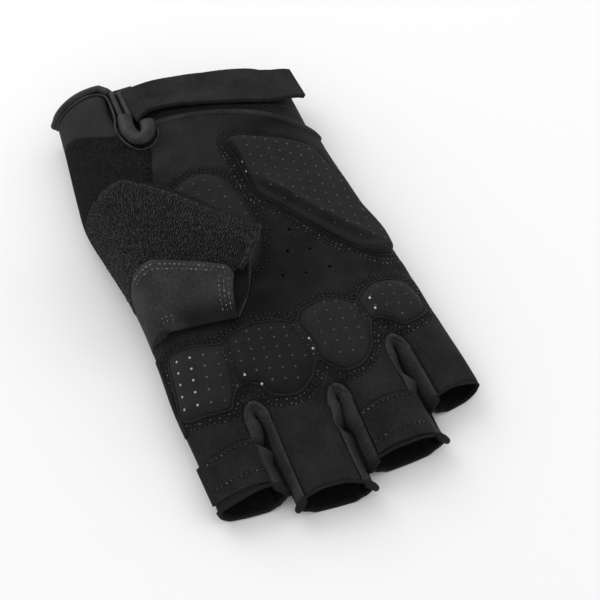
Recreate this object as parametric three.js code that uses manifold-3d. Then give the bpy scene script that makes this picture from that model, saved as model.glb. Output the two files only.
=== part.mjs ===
// Short-finger cycling glove for the right hand, lying on its back, palm up, thumb folded over the palm.
// Millimetres. +X runs from the thumb side to the little finger, +Y from the fingers to the wrist and
// +Z up out of the palm. The back of the glove rests on z = 0.
// The hand is one skin of four-sided cells. Each cell belongs to a named panel, and each panel becomes
// a cloth wall of even thickness that stops half a seam gap short of its neighbours.
import * as THREE from 'three';
import { mergeVertices } from 'three/addons/utils/BufferGeometryUtils.js';
import Module from 'manifold-3d';

// Cloth
const WALL = 1.3;
const SEAM_GAP = 0.38;
const CLEARANCE = 0.35;
const CORNERS_PER_MM = 500;

// Hand outline: y station, left edge x, right edge x, crown height, height of the side seam
const HAND = [
  { y: -80, left: -56.4, right: 41.6, crown: 12.4, side: 5.6 },
  { y: -66, left: -56.4, right: 41.2, crown: 13.6, side: 6.2 },
  { y: -50, left: -56.6, right: 40.2, crown: 17.0, side: 7.2 },
  { y: -34, left: -57.2, right: 38.6, crown: 20.8, side: 8 },
  { y: -14, left: -56.4, right: 37.4, crown: 21.3, side: 8 },
  { y: 14, left: -56.8, right: 35.2, crown: 21.6, side: 8 },
  { y: 34, left: -59.6, right: 33.2, crown: 23.6, side: 8 },
  { y: 52, left: -61.8, right: 31.6, crown: 25.8, side: 8 },
  { y: 66, left: -60.6, right: 31.4, crown: 26.4, side: 8.2 },
  { y: 82, left: -58.6, right: 31.4, crown: 25.4, side: 8.6 },
  { y: 99, left: -56.8, right: 31.2, crown: 23.6, side: 9 },
];
const CROWN_SQUARENESS = 2.6;
const UNDERSIDE_ROUNDING = 1.15;

// Lines across the hand from the thumb side to the little finger side, as x and y
const WRIST_END = [[-62, 99.6], [-38, 98], [-20, 95.6], [0, 93.2], [18, 90.8], [32, 89.4]];
const CUFF_SEAM = [[-62, 81.4], [-48, 79.6], [-36, 76.6], [-22, 74.8], [4, 69], [16, 64.4], [27, 58.6],
  [32, 56.4]];
const KEYHOLE_END = [[-62, 70], [-36, 66.8], [-30, 66.4], [-10, 65], [16, 58.5], [32, 51]];
const THUMB_BACK = [[-62, 49], [-36, 46.5], [32, 42]];
const THUMB_FRONT = [[-57, -7], [-48, -7.4], [38, -7.4]];
const CROTCH_LINE = [[-57, -40], [-45, -42.4], [-34, -41.2], [-20, -45.6], [-6.4, -45], [7, -42],
  [18.5, -34.6], [29, -34.2], [38.6, -33]];

// Gaps between fingers: x and y at the crotch, x between the hems, and the run from one to the other
const GAPS = [
  { name: 'index_middle', x: -34.0, y: -41.2, hemX: -33.3 },
  { name: 'middle_ring', x: -6.4, y: -45.0, hemX: -5.9 },
  { name: 'ring_little', x: 18.5, y: -34.6, hemX: 22.6 },
];
const GAP_RUN = 38;
const CROTCH_ROUND = 6;
const CROTCH_FIRST_ROW = 0.3;
const PALM_SEAM_INSET = 4.2;
const BACK_SEAM_INSET = 3.2;
const HALF_GAP = 0.34;
const SEAM_DIP = { depth: 3.1, reach: 8, start: 12, run: 14 };
const BACK_RISE = { height: 2.4, reach: 4.5, start: 6, run: 8 };
const CROTCH_BULGE = 2.4;

// Fingers: hem y at the left and right of the palm face, bow of the hem, how far the back reaches on,
// and where the outer edges of the first and last finger start
const FINGERS = [
  { name: 'index', hemLeft: -68.4, hemRight: -68.5, bow: -0.6, lip: 4.4 },
  { name: 'middle', hemLeft: -76.8, hemRight: -78.8, bow: 0.3, lip: 1.4 },
  { name: 'ring', hemLeft: -72.4, hemRight: -71.6, bow: -0.5, lip: 1.2 },
  { name: 'little', hemLeft: -58.6, hemRight: -57.2, bow: 0.2, lip: 2.4 },
];
const OUTER_START = { left: -40, right: -33 };

// Column of cells that carries the slit, the terry seam and the palm side of the thumb hole: y and x
const SLIT_LEFT = [[-41, -48.4], [-24, -49.2], [-7, -49.0], [10, -48.4], [28, -46.0], [40, -41.5],
  [47, -36.6], [60, -32.8], [66.6, -35.3], [74, -35.4], [78, -38.0], [99, -38.0]];
const SLIT_RIGHT = [[-41, -42.5], [-7, -43.0], [10, -42.5], [28, -40.0], [40, -35.5], [47, -31.4],
  [60, -28.6], [66.6, -31.2], [74, -31.2], [78, -31.5], [99, -31.5]];

// Cells across each finger: shares of its width on the palm face, and on the back from right to left
const PALM_SHARES = [
  [0, 0.04, 0.15, 0.36, 0.66, 0.88, 1],
  [0, 0.12, 0.36, 0.64, 0.88, 1],
  [0, 0.12, 0.36, 0.64, 0.88, 1],
  [0, 0.12, 0.34, 0.64, 0.85, 0.96, 1],
];
const BACK_SHARES = [
  [0, 0.16, 0.6, 0.8, 0.945, 1],
  [0, 0.16, 0.5, 0.84, 1],
  [0, 0.16, 0.5, 0.84, 1],
  [0, 0.055, 0.2, 0.42, 0.84, 1],
];
const SLIT_COLUMN = 3;
const FOURCHETTE_CELLS = 3;
const FINGER_ROWS = 6;
const ROWS = { cuff: 3, keyhole: 2, wrist: 3, thumb: 10, knuckles: 5 };

// Thumb stall laid over the palm, from its back edge (u = 0) to its front edge (u = 1)
const THUMB_CREST = [
  { u: 0, x: -46.0, y: 49.0, z: 31.6 },
  { u: 0.1, x: -46.4, y: 45.4, z: 34.6 },
  { u: 0.25, x: -47.0, y: 37.5, z: 36.0 },
  { u: 0.45, x: -47.6, y: 26.0, z: 36.6 },
  { u: 0.6, x: -48.0, y: 17.0, z: 36.0 },
  { u: 0.7, x: -48.4, y: 11.0, z: 34.4 },
  { u: 0.8, x: -49.0, y: 5.0, z: 30.6 },
  { u: 0.9, x: -49.4, y: -1.5, z: 26.0 },
  { u: 1, x: -49.6, y: -6.8, z: 20.9 },
];
const THUMB_MOUTH = [
  { u: 0, x: -7.6, y: 18.2, z: 31.6 },
  { u: 0.1, x: -9.4, y: 14.6, z: 33.6 },
  { u: 0.25, x: -11.8, y: 9.6, z: 34.4 },
  { u: 0.45, x: -15.6, y: 4.6, z: 34.8 },
  { u: 0.6, x: -19.6, y: 1.2, z: 34.2 },
  { u: 0.7, x: -23.0, y: -0.8, z: 33.0 },
  { u: 0.8, x: -25.2, y: -3.6, z: 29.6 },
  { u: 0.9, x: -26.8, y: -8.0, z: 27.2 },
  { u: 1, x: -27.6, y: -12.4, z: 24.8 },
];
const THUMB_UNDER_LIP = { back: [-8.0, 18.4], front: [-27.2, -12.8] };
const THUMB_RISE_ROWS = 4;
const THUMB_REACH_ROWS = 6;
const THUMB_PATCH_STATION = 7;
const THUMB_BED = 0.75;
const THUMB_PAD_RISE = {
  x: -21.5, y: 24, halfWidth: 17.5, halfLength: 26, edge: 1.16, run: 0.2, height: 3.1,
};
const THUMB_FOLD = { out: 0.7, up: 0.3 };
const THUMB_ROOT_BULGE = 2.2;
const THUMB_SWELL = 1.2;
const THUMB_EDGE_ROUND = { back: [1.1, 1.4, -0.1], front: [-0.3, -1.2, 0] };

// Raised pads: outline points as x and y on the palm, height of the plateau and width of its flank as a
// share of the pad; the rings give the rise across that flank
const PADS = [
  {
    name: 'knuckle_pad_index', height: 2.3, flank: 0.13,
    outline: [[-52.2, -15.4], [-44, -16.2], [-36.4, -20.2], [-36.4, -32], [-38.2, -37],
      [-42, -40.4], [-48.6, -39.8], [-54.9, -36.4], [-54.0, -26]],
  },
  {
    name: 'knuckle_pad_middle', height: 2.7, flank: 0.13,
    outline: [[-33.4, -19.6], [-29, -17.2], [-22, -17.2], [-15.4, -20.2], [-13.4, -26],
      [-13.6, -34], [-14.8, -39.6], [-18.8, -43.4], [-24, -43.4], [-28.8, -38.4],
      [-33.8, -33.6]],
  },
  {
    name: 'knuckle_pad_ring', height: 2.7, flank: 0.13,
    outline: [[-10.2, -22.2], [-5.6, -17.8], [2.5, -16.6], [8.6, -19.6], [10.9, -25],
      [10.2, -34.5], [6.4, -40.6], [-1, -42.2], [-7.4, -39.6], [-11.2, -35], [-11.4, -28]],
  },
  {
    name: 'knuckle_pad_little', height: 2.2, flank: 0.15,
    outline: [[13.4, -21.8], [16.6, -17.2], [22, -14.8], [28.8, -15.4], [32.8, -19.4],
      [33.8, -26.2], [30.6, -30.6], [24, -31.8], [17.8, -28.4], [13.4, -28]],
  },
  {
    name: 'ulnar_pad', height: 3.9, flank: 0.2,
    outline: [[-5.4, 50], [-4.6, 55.4], [3.5, 55.4], [14, 51.4], [22.6, 47.2], [26.4, 40],
      [29, 28], [30.8, 16], [32.8, 4], [31.4, -2.6], [26, -2.2], [20.4, 3.6], [14, 11.6],
      [6.4, 21.4], [-0.4, 30], [-3.8, 39]],
  },
  {
    name: 'thenar_pad', height: 2.4, flank: 0.14,
    outline: [[-33.6, 38.6], [-29.4, 43.6], [-21, 46.4], [-13.4, 43.2], [-9.4, 35], [-7.8, 25],
      [-8.2, 16.4], [-12, 8], [-18.6, 2.6], [-26, 3], [-32.6, 10], [-35, 20], [-35.2, 30]],
  },
];
const PAD_STATIONS = 22;
const PAD_RINGS = [
  { across: 0, rise: 0.45 },
  { across: 0.35, rise: 0.78 },
  { across: 1, rise: 1 },
];
const PAD_PLATEAU = { scale: 0.45, rise: 1.04, middle: 1.05 };

// Closure strap over the cuff: x and y of its finger-side edge, least height of its lower face there
const STRAP = [
  { x: -31.2, y: 76.6, z: 0 },
  { x: -22, y: 77.0, z: 0 },
  { x: -9, y: 75.4, z: 0 },
  { x: 4, y: 72.4, z: 24 },
  { x: 16, y: 70.6, z: 23.4 },
  { x: 24, y: 71.0, z: 21.2 },
  { x: 29, y: 71.8, z: 19.0 },
  { x: 31.6, y: 72.2, z: 17.4 },
];
const STRAP_WIDTH = 16.2;
const STRAP_FALL = 2.0;
const STRAP_LIFT = 0.5;
const STRAP_THICKNESS = 2.0;
const STRAP_COLUMNS = 16;
const STRAP_ROWS = [1, 0.72, 0.28, 0];

// Rolled bindings of the wrist slit and its padded keyhole
const SLIT_ROLLS = [
  { name: 'slit_binding_left', x: -36.3, top: 97.6, bottom: 81.4 },
  { name: 'slit_binding_right', x: -33.1, top: 97.6, bottom: 80.4 },
];
const SLIT_ROLL = { radius: 1.45, sink: 0.2, stations: 5, sides: 8, steps: 6 };
const KEYHOLE = { x: -33.3, y: 70.4, radius: 4.5, leftTop: 79.2, rightTop: 75.2, toe: 0.3 };
const KEYHOLE_ROLL = { halfWidth: 2.4, halfHeight: 1.6, lift: 0.12, arc: 8, sides: 10, steps: 20 };
const CUFF_ROLL = {
  radius: 1.5, sink: 0.4, sides: 8, steps: 9, xs: [-57.2, -55.5, -52, -47, -42.5, -38.4],
};

// Pull tabs stitched across the palm face of two stalls: y of both long edges at the left and right
const TABS = [
  { name: 'pull_tab_index', left: -56.0, right: -38.2, top: [-54.6, -52.8], bottom: [-66.6, -66.4] },
  { name: 'pull_tab_ring', left: -1.4, right: 17.4, top: [-56.6, -55.6], bottom: [-69.8, -69.2] },
];
const TAB_THICKNESS = 1.1;
const TAB_COLUMNS = 10;
const TAB_ROWS = 3;

// Vent holes through the palm
const VENTS = [[2.3, 15.4], [6.4, 6.7], [-1.3, 7.8], [9.7, -3.0], [1.3, -2.2], [-6.6, -1.0]];
const VENT_RADIUS = 0.9;
const VENT_PUNCH = 8;
const VENT_SIDES = 8;

// Soft hollows and swells of the palm: x, y, half length, half width, turn in degrees, height
const RELIEF = [
  { x: -50, y: 94, length: 13, width: 12, turn: 0, height: 4.6 },
  { x: 4, y: 2, length: 15, width: 11, turn: 20, height: -1.5 },
  { x: -44, y: -60, length: 9, width: 5, turn: 80, height: 0.7 },
  { x: -20, y: -62, length: 12, width: 7, turn: 85, height: 0.6 },
  { x: 8, y: -58, length: 10, width: 6, turn: 80, height: 0.6 },
  { x: 36, y: 38, length: 9, width: 3, turn: 60, height: 0.8 },
  { x: -28, y: 56, length: 10, width: 3.4, turn: 15, height: 0.7 },
  { x: 16, y: 60, length: 9, width: 3, turn: -20, height: -0.7 },
];

// Slopes of the palm are measured over a short step and held under a limit
const SLOPE_STEP = 0.4;
const STEEPEST = 2.5;

// Colours
const SUEDE = new THREE.MeshStandardMaterial({ color: 0x262626, roughness: 0.95, metalness: 0 });
const TERRY = new THREE.MeshStandardMaterial({ color: 0x242424, roughness: 1, metalness: 0 });
const KNIT = new THREE.MeshStandardMaterial({ color: 0x343434, roughness: 0.9, metalness: 0 });
const PAD_CLOTH = new THREE.MeshStandardMaterial({ color: 0x2c2c2c, roughness: 0.8, metalness: 0 });
const BINDING = new THREE.MeshStandardMaterial({ color: 0x484848, roughness: 0.5, metalness: 0 });

const clamp = (t, low = 0, high = 1) => Math.min(high, Math.max(low, t));
const mix = (a, b, t) => a + (b - a) * t;
const mixPoint = (p, q, t) => p.map((value, axis) => mix(value, q[axis], t));
const ease = (t) => clamp(t) ** 2 * (3 - 2 * clamp(t));

// Smooth curve through the rows of a table, held level past its ends
function through(rows, key, value, at) {
  const k = (i) => rows[i][key];
  const v = (i) => rows[i][value];
  const last = rows.length - 1;
  if (at <= k(0)) return v(0);
  if (at >= k(last)) return v(last);
  let i = 0;
  while (at > k(i + 1)) i += 1;
  const slope = (n) => (v(n + 1) - v(n)) / (k(n + 1) - k(n));
  const tangent = (n) => {
    if (n === 0) return slope(0);
    if (n === last) return slope(last - 1);
    const before = k(n) - k(n - 1);
    const after = k(n + 1) - k(n);
    return (slope(n - 1) * after + slope(n) * before) / (before + after);
  };
  const h = k(i + 1) - k(i);
  const t = (at - k(i)) / h;
  const rise = v(i + 1) - v(i);
  return v(i) + t * (h * tangent(i) + t * (3 * rise - h * (2 * tangent(i) + tangent(i + 1))
    + t * (h * (tangent(i) + tangent(i + 1)) - 2 * rise)));
}

const hand = (y, value) => through(HAND, 'y', value, y);
const across = (line, x) => through(line, 0, 1, x);

function gapCentre(gap, y) {
  return mix(gap.x, gap.hemX, clamp((gap.y - y) / GAP_RUN));
}

function gapOpening(distance) {
  return Math.sqrt(clamp(1 - (1 - clamp(distance / CROTCH_ROUND)) ** 2));
}

// Height of the palm side of the skin
function palmHeight(x, y) {
  const left = hand(y, 'left');
  const right = hand(y, 'right');
  const side = hand(y, 'side');
  const from = clamp(Math.abs(2 * x - left - right) / (right - left));
  const swell = Math.sqrt(1 - from ** CROWN_SQUARENESS);
  let z = side + (hand(y, 'crown') - side) * swell;
  for (const gap of GAPS) {
    const off = Math.abs(x - gapCentre(gap, y)) - PALM_SEAM_INSET * gapOpening(gap.y - y);
    const near = clamp(1 - Math.max(off, 0) / SEAM_DIP.reach) ** 2;
    z -= SEAM_DIP.depth * ease((gap.y + SEAM_DIP.start - y) / SEAM_DIP.run) * near;
  }
  for (const fold of RELIEF) {
    const turn = THREE.MathUtils.degToRad(fold.turn);
    const along = (x - fold.x) * Math.cos(turn) + (y - fold.y) * Math.sin(turn);
    const over = (y - fold.y) * Math.cos(turn) - (x - fold.x) * Math.sin(turn);
    z += fold.height * swell * Math.exp(-((along / fold.length) ** 2) - (over / fold.width) ** 2);
  }
  return z;
}

// Height of the back side of the skin, which is flat where it rests
function backHeight(x, y) {
  const side = hand(y, 'side');
  const edge = Math.max(0, Math.min(x - hand(y, 'left'), hand(y, 'right') - x));
  const inset = 1 - clamp(edge / (side * UNDERSIDE_ROUNDING));
  let z = side * (1 - Math.sqrt(1 - inset ** 2));
  for (const gap of GAPS) {
    const off = Math.abs(x - gapCentre(gap, y)) - BACK_SEAM_INSET * gapOpening(gap.y - y);
    const near = 1 - ease(Math.max(off, 0) / BACK_RISE.reach);
    z += BACK_RISE.height * ease((gap.y + BACK_RISE.start - y) / BACK_RISE.run) * near;
  }
  return z;
}

const palmPoint = (x, y) => [x, y, palmHeight(x, y)];

// Point at a height above the palm, measured square to it
function above(x, y, height) {
  const slope = (after, before) => clamp((after - before) / (2 * SLOPE_STEP), -STEEPEST, STEEPEST);
  const dx = slope(palmHeight(x + SLOPE_STEP, y), palmHeight(x - SLOPE_STEP, y));
  const dy = slope(palmHeight(x, y + SLOPE_STEP), palmHeight(x, y - SLOPE_STEP));
  const size = Math.hypot(dx, dy, 1);
  return [x - (dx / size) * height, y - (dy / size) * height, palmHeight(x, y) + height / size];
}

// Skin of shared corners and four-sided cells, each cell with the name of its panel
class Skin {
  constructor() {
    this.points = [];
    this.found = new Map();
    this.cells = [];
  }

  corner(point) {
    const key = point.map((value) => Math.round(value * CORNERS_PER_MM)).join();
    if (!this.found.has(key)) {
      this.found.set(key, this.points.length);
      this.points.push(new THREE.Vector3(...point));
    }
    return this.found.get(key);
  }

  // Net of points in rows; cells face the viewer when rows run down and columns run right
  net(rows, panelOf) {
    const ids = rows.map((row) => row.map((point) => this.corner(point)));
    for (let i = 0; i + 1 < ids.length; i += 1) {
      for (let j = 0; j + 1 < ids[i].length; j += 1) {
        const panel = panelOf(i, j);
        const ring = [ids[i][j], ids[i + 1][j], ids[i + 1][j + 1], ids[i][j + 1]];
        const corners = ring.filter((id, n) => id !== ring[(n + 3) % 4]);
        if (panel && corners.length > 2) this.cells.push({ panel, corners });
      }
    }
  }

  // Outward direction at each corner, averaged over the cells round it
  normals() {
    const sums = this.points.map(() => new THREE.Vector3());
    for (const { corners } of this.cells) {
      const [a, b, c, d] = corners.map((id) => this.points[id]);
      const first = new THREE.Vector3().subVectors(c, a);
      const second = new THREE.Vector3().subVectors(d ?? c, b);
      const normal = first.cross(second).normalize();
      corners.forEach((id) => sums[id].add(normal));
    }
    return sums.map((sum) => sum.normalize());
  }

  // Closed cloth wall of one panel
  wall(panel, normals, thickness = WALL) {
    const cells = this.cells.filter((cell) => cell.panel === panel);
    const edges = new Map();
    for (const { corners } of cells) {
      corners.forEach((id, n) => edges.set(`${id},${corners[(n + 1) % corners.length]}`, true));
    }
    const directed = [...edges.keys()].map((key) => key.split(',').map(Number));
    const rim = directed.filter(([a, b]) => !edges.has(`${b},${a}`));
    const pull = new Map();
    for (const [a, b] of rim) {
      for (const id of [a, b]) {
        const inward = new THREE.Vector3().subVectors(this.points[b], this.points[a]);
        inward.crossVectors(normals[id], inward).normalize();
        pull.set(id, (pull.get(id) ?? new THREE.Vector3()).add(inward));
      }
    }
    const local = new Map();
    const outer = [];
    const inner = [];
    for (const id of cells.flatMap((cell) => cell.corners)) {
      if (local.has(id)) continue;
      local.set(id, outer.length);
      const point = this.points[id].clone();
      if (pull.has(id)) point.addScaledVector(pull.get(id).normalize(), SEAM_GAP / 2);
      outer.push(point);
      inner.push(point.clone().addScaledVector(normals[id], -thickness));
    }
    const triangles = [];
    const count = outer.length;
    for (const { corners } of cells) {
      const [a, b, c, d] = corners.map((id) => local.get(id));
      triangles.push([a, b, c], [a + count, c + count, b + count]);
      if (d !== undefined) triangles.push([a, c, d], [a + count, d + count, c + count]);
    }
    for (const [from, to] of rim) {
      const a = local.get(from);
      const b = local.get(to);
      triangles.push([b, a, a + count], [b, a + count, b + count]);
    }
    return closedGeometry([...outer, ...inner], triangles);
  }
}

function closedGeometry(points, triangles) {
  const geometry = new THREE.BufferGeometry();
  const flat = points.flatMap((point) => [point.x, point.y, point.z]);
  geometry.setAttribute('position', new THREE.Float32BufferAttribute(flat, 3));
  geometry.setIndex(triangles.flat());
  return geometry;
}

// Closed solid between two nets with the same rows and columns
function slab(topRows, bottomRows) {
  const columns = topRows[0].length;
  const count = topRows.length * columns;
  const points = [...topRows.flat(), ...bottomRows.flat()].map((point) => new THREE.Vector3(...point));
  const id = (i, j) => i * columns + j;
  const low = (i, j) => count + id(i, j);
  const triangles = [];
  const quad = (a, b, c, d) => triangles.push([a, b, c], [a, c, d]);
  for (let i = 0; i + 1 < topRows.length; i += 1) {
    for (let j = 0; j + 1 < columns; j += 1) {
      quad(id(i, j), id(i + 1, j), id(i + 1, j + 1), id(i, j + 1));
      quad(low(i, j), low(i, j + 1), low(i + 1, j + 1), low(i + 1, j));
    }
  }
  const last = topRows.length - 1;
  for (let j = 0; j + 1 < columns; j += 1) {
    quad(id(0, j), id(0, j + 1), low(0, j + 1), low(0, j));
    quad(id(last, j + 1), id(last, j), low(last, j), low(last, j + 1));
  }
  for (let i = 0; i < last; i += 1) {
    quad(id(i + 1, 0), id(i, 0), low(i, 0), low(i + 1, 0));
    quad(id(i, columns - 1), id(i + 1, columns - 1), low(i + 1, columns - 1), low(i, columns - 1));
  }
  return closedGeometry(points, triangles);
}

// Palm zone: rows from the wrist end down to the crotch line, each a closed ring round the hand
const ROW_LINES = [
  { line: WRIST_END, rows: 0 },
  { line: CUFF_SEAM, rows: ROWS.cuff },
  { line: KEYHOLE_END, rows: ROWS.keyhole },
  { line: THUMB_BACK, rows: ROWS.wrist },
  { line: THUMB_FRONT, rows: ROWS.thumb },
  { line: CROTCH_LINE, rows: ROWS.knuckles },
];
const ROW_CUFF = ROWS.cuff;
const ROW_KEYHOLE = ROW_CUFF + ROWS.keyhole;
const ROW_THUMB_BACK = ROW_KEYHOLE + ROWS.wrist;
const ROW_THUMB_FRONT = ROW_THUMB_BACK + ROWS.thumb;
const ROW_CROTCH = ROW_THUMB_FRONT + ROWS.knuckles;

function rowY(row, x) {
  let first = 0;
  for (let band = 1; band < ROW_LINES.length; band += 1) {
    const { line, rows } = ROW_LINES[band];
    if (row <= first + rows) {
      return mix(across(ROW_LINES[band - 1].line, x), across(line, x), (row - first) / rows);
    }
    first += rows;
  }
  return across(CROTCH_LINE, x);
}

// Shares of the hand's width at the crotch line, one per column, for the palm and for the back
const CROTCH_STOPS = [hand(OUTER_START.left, 'left'), ...GAPS.map((gap) => gap.x),
  hand(OUTER_START.right, 'right')];
const CROTCH_WIDTH = CROTCH_STOPS[4] - CROTCH_STOPS[0];
function shares(tables, leftToRight) {
  const order = leftToRight ? [0, 1, 2, 3] : [3, 2, 1, 0];
  const list = [];
  for (const finger of order) {
    const [from, to] = leftToRight
      ? [CROTCH_STOPS[finger], CROTCH_STOPS[finger + 1]]
      : [CROTCH_STOPS[finger + 1], CROTCH_STOPS[finger]];
    tables[finger].slice(list.length ? 1 : 0).forEach((share) => {
      list.push((mix(from, to, share) - CROTCH_STOPS[0]) / CROTCH_WIDTH);
    });
  }
  return list;
}
const PALM_COLUMNS = shares(PALM_SHARES, true);
const BACK_COLUMNS = shares(BACK_SHARES, false);

// A column keeps its share of the width; the slit's two columns follow their own lines to the crotch
function columnX(row, column) {
  const own = PALM_COLUMNS[column];
  let x = mix(CROTCH_STOPS[0], CROTCH_STOPS[4], own);
  for (let pass = 0; pass < 3; pass += 1) {
    const y = rowY(row, x);
    const left = hand(y, 'left');
    const right = hand(y, 'right');
    const slitLeft = through(SLIT_LEFT, 0, 1, y);
    const slitRight = through(SLIT_RIGHT, 0, 1, y);
    const stops = [PALM_COLUMNS[SLIT_COLUMN], PALM_COLUMNS[SLIT_COLUMN + 1]];
    let warped = mix(slitRight, right, (own - stops[1]) / (1 - stops[1]));
    if (column <= SLIT_COLUMN) warped = mix(left, slitLeft, own / stops[0]);
    x = mix(warped, mix(left, right, own), ease((row - ROW_THUMB_FRONT) / ROWS.knuckles));
  }
  return row === ROW_CROTCH ? mix(CROTCH_STOPS[0], CROTCH_STOPS[4], own) : x;
}

function sidePoint(row, which) {
  let x = which === 'left' ? CROTCH_STOPS[0] : CROTCH_STOPS[4];
  for (let pass = 0; pass < 3; pass += 1) x = row === ROW_CROTCH ? x : hand(rowY(row, x), which);
  const y = rowY(row, x);
  return [x, y, hand(y, 'side')];
}

function handRing(row) {
  const left = sidePoint(row, 'left');
  const right = sidePoint(row, 'right');
  const palm = PALM_COLUMNS.slice(1, -1).map((unused, n) => {
    const x = columnX(row, n + 1);
    return palmPoint(x, rowY(row, x));
  });
  const back = BACK_COLUMNS.slice(1, -1).map((share) => {
    const ends = row === ROW_CROTCH ? [CROTCH_STOPS[0], CROTCH_STOPS[4]] : [left[0], right[0]];
    const x = mix(...ends, share);
    const y = rowY(row, x);
    return [x, y, backHeight(x, y)];
  });
  return [left, ...palm, right, ...back, left];
}

const PALM_CELLS = PALM_COLUMNS.length - 1;
function handPanel(row, column) {
  if (column >= PALM_CELLS) return 'back_panel';
  const slit = column === SLIT_COLUMN;
  const thumbSide = column < SLIT_COLUMN;
  if (slit && row < ROW_KEYHOLE) return null;
  if (row < ROW_CUFF) return thumbSide ? 'cuff_flap' : 'cuff_band';
  if (!thumbSide) return 'palm_panel';
  if (row < ROW_THUMB_BACK) return 'wrist_terry';
  return row < ROW_THUMB_FRONT ? null : 'palm_panel';
}

// Finger rows start at the crotch line with a quarter round and then run evenly to the hem
function fingerRun(row, length) {
  const round = [0, CROTCH_ROUND * CROTCH_FIRST_ROW, CROTCH_ROUND];
  if (row < round.length) return round[row];
  return mix(CROTCH_ROUND, length, (row - round.length + 1) / (FINGER_ROWS - round.length + 1));
}

// Seam point beside a gap: side is -1 for the finger on its left and +1 for the one on its right
function gapPoint(gap, side, row, hemY, lip, level) {
  const run = fingerRun(row, gap.y - hemY);
  const share = run / (gap.y - hemY);
  const open = gapOpening(run);
  const belly = 4 * level * (1 - level);
  const y = gap.y - run - lip * share * level - CROTCH_BULGE * belly * (1 - share) ** 2;
  const control = 2 * HALF_GAP - 0.5 * (PALM_SEAM_INSET + BACK_SEAM_INSET);
  const inset = (1 - level) ** 2 * PALM_SEAM_INSET + 0.5 * belly * control + level ** 2 * BACK_SEAM_INSET;
  const x = gapCentre(gap, y) + side * inset * open;
  const seamX = (width) => gapCentre(gap, y) + side * width * open;
  const top = palmHeight(seamX(PALM_SEAM_INSET), gap.y - run);
  const bottom = backHeight(seamX(BACK_SEAM_INSET), gap.y - run - lip * share);
  return [x, y, mix(top, bottom, level)];
}

function fingerEdgePoint(side, row, hemY, lip, start) {
  const run = fingerRun(row, start - hemY);
  const y = start - run - lip * 0.5 * (run / (start - hemY));
  return row === 0 ? [CROTCH_STOPS[side < 0 ? 0 : 4], start, hand(start, 'side')]
    : [hand(y, side < 0 ? 'left' : 'right'), y, hand(y, 'side')];
}

function fingerRing(finger, row) {
  const { hemLeft, hemRight, bow, lip } = FINGERS[finger];
  const leftGap = GAPS[finger - 1];
  const rightGap = GAPS[finger];
  const left = (level) => (leftGap ? gapPoint(leftGap, 1, row, hemLeft, lip, level)
    : fingerEdgePoint(-1, row, hemLeft, lip, OUTER_START.left));
  const right = (level) => (rightGap ? gapPoint(rightGap, -1, row, hemRight, lip, level)
    : fingerEdgePoint(1, row, hemRight, lip, OUTER_START.right));
  const levels = Array.from({ length: FOURCHETTE_CELLS - 1 }, (unused, n) => (n + 1) / FOURCHETTE_CELLS);
  const share = row / FINGER_ROWS;
  const face = (from, to, table, height, bend) => table.slice(1, -1).map((u) => {
    const x = mix(from[0], to[0], u);
    const straight = mix(from[1], to[1], u) + bend * 4 * u * (1 - u) * share;
    const y = mix(across(CROTCH_LINE, x), straight, ease(row / 2));
    return [x, y, height(x, y)];
  });
  const palm = face(left(0), right(0), PALM_SHARES[finger], palmHeight, bow);
  const back = face(right(1), left(1), BACK_SHARES[finger], backHeight, -Math.abs(bow));
  const rightWall = rightGap ? [...levels, 1].map(right) : [];
  const leftWall = leftGap ? [1, ...[...levels].reverse()].map(left) : [];
  return [left(0), ...palm, right(0), ...rightWall, ...back, ...leftWall, left(0)];
}

function fingerPanel(finger, column) {
  const palm = PALM_SHARES[finger].length - 1;
  const right = GAPS[finger] ? FOURCHETTE_CELLS : 0;
  const back = BACK_SHARES[finger].length - 1;
  if (column < palm) return 'palm_panel';
  if (column < palm + right) return `fourchette_${GAPS[finger].name}`;
  if (column < palm + right + back) return 'back_panel';
  return `fourchette_${GAPS[finger - 1].name}`;
}

// Height that the thumb stall's lower sheet keeps above the palm, over the pad that it lies on
function thumbBed(x, y) {
  const { halfWidth, halfLength, edge, run, height } = THUMB_PAD_RISE;
  const reach = Math.hypot((x - THUMB_PAD_RISE.x) / halfWidth, (y - THUMB_PAD_RISE.y) / halfLength);
  return THUMB_BED + height * ease((edge - reach) / run);
}

function thumbStation(table, u) {
  return ['x', 'y', 'z'].map((axis) => through(table, 'u', axis, u));
}

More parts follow.
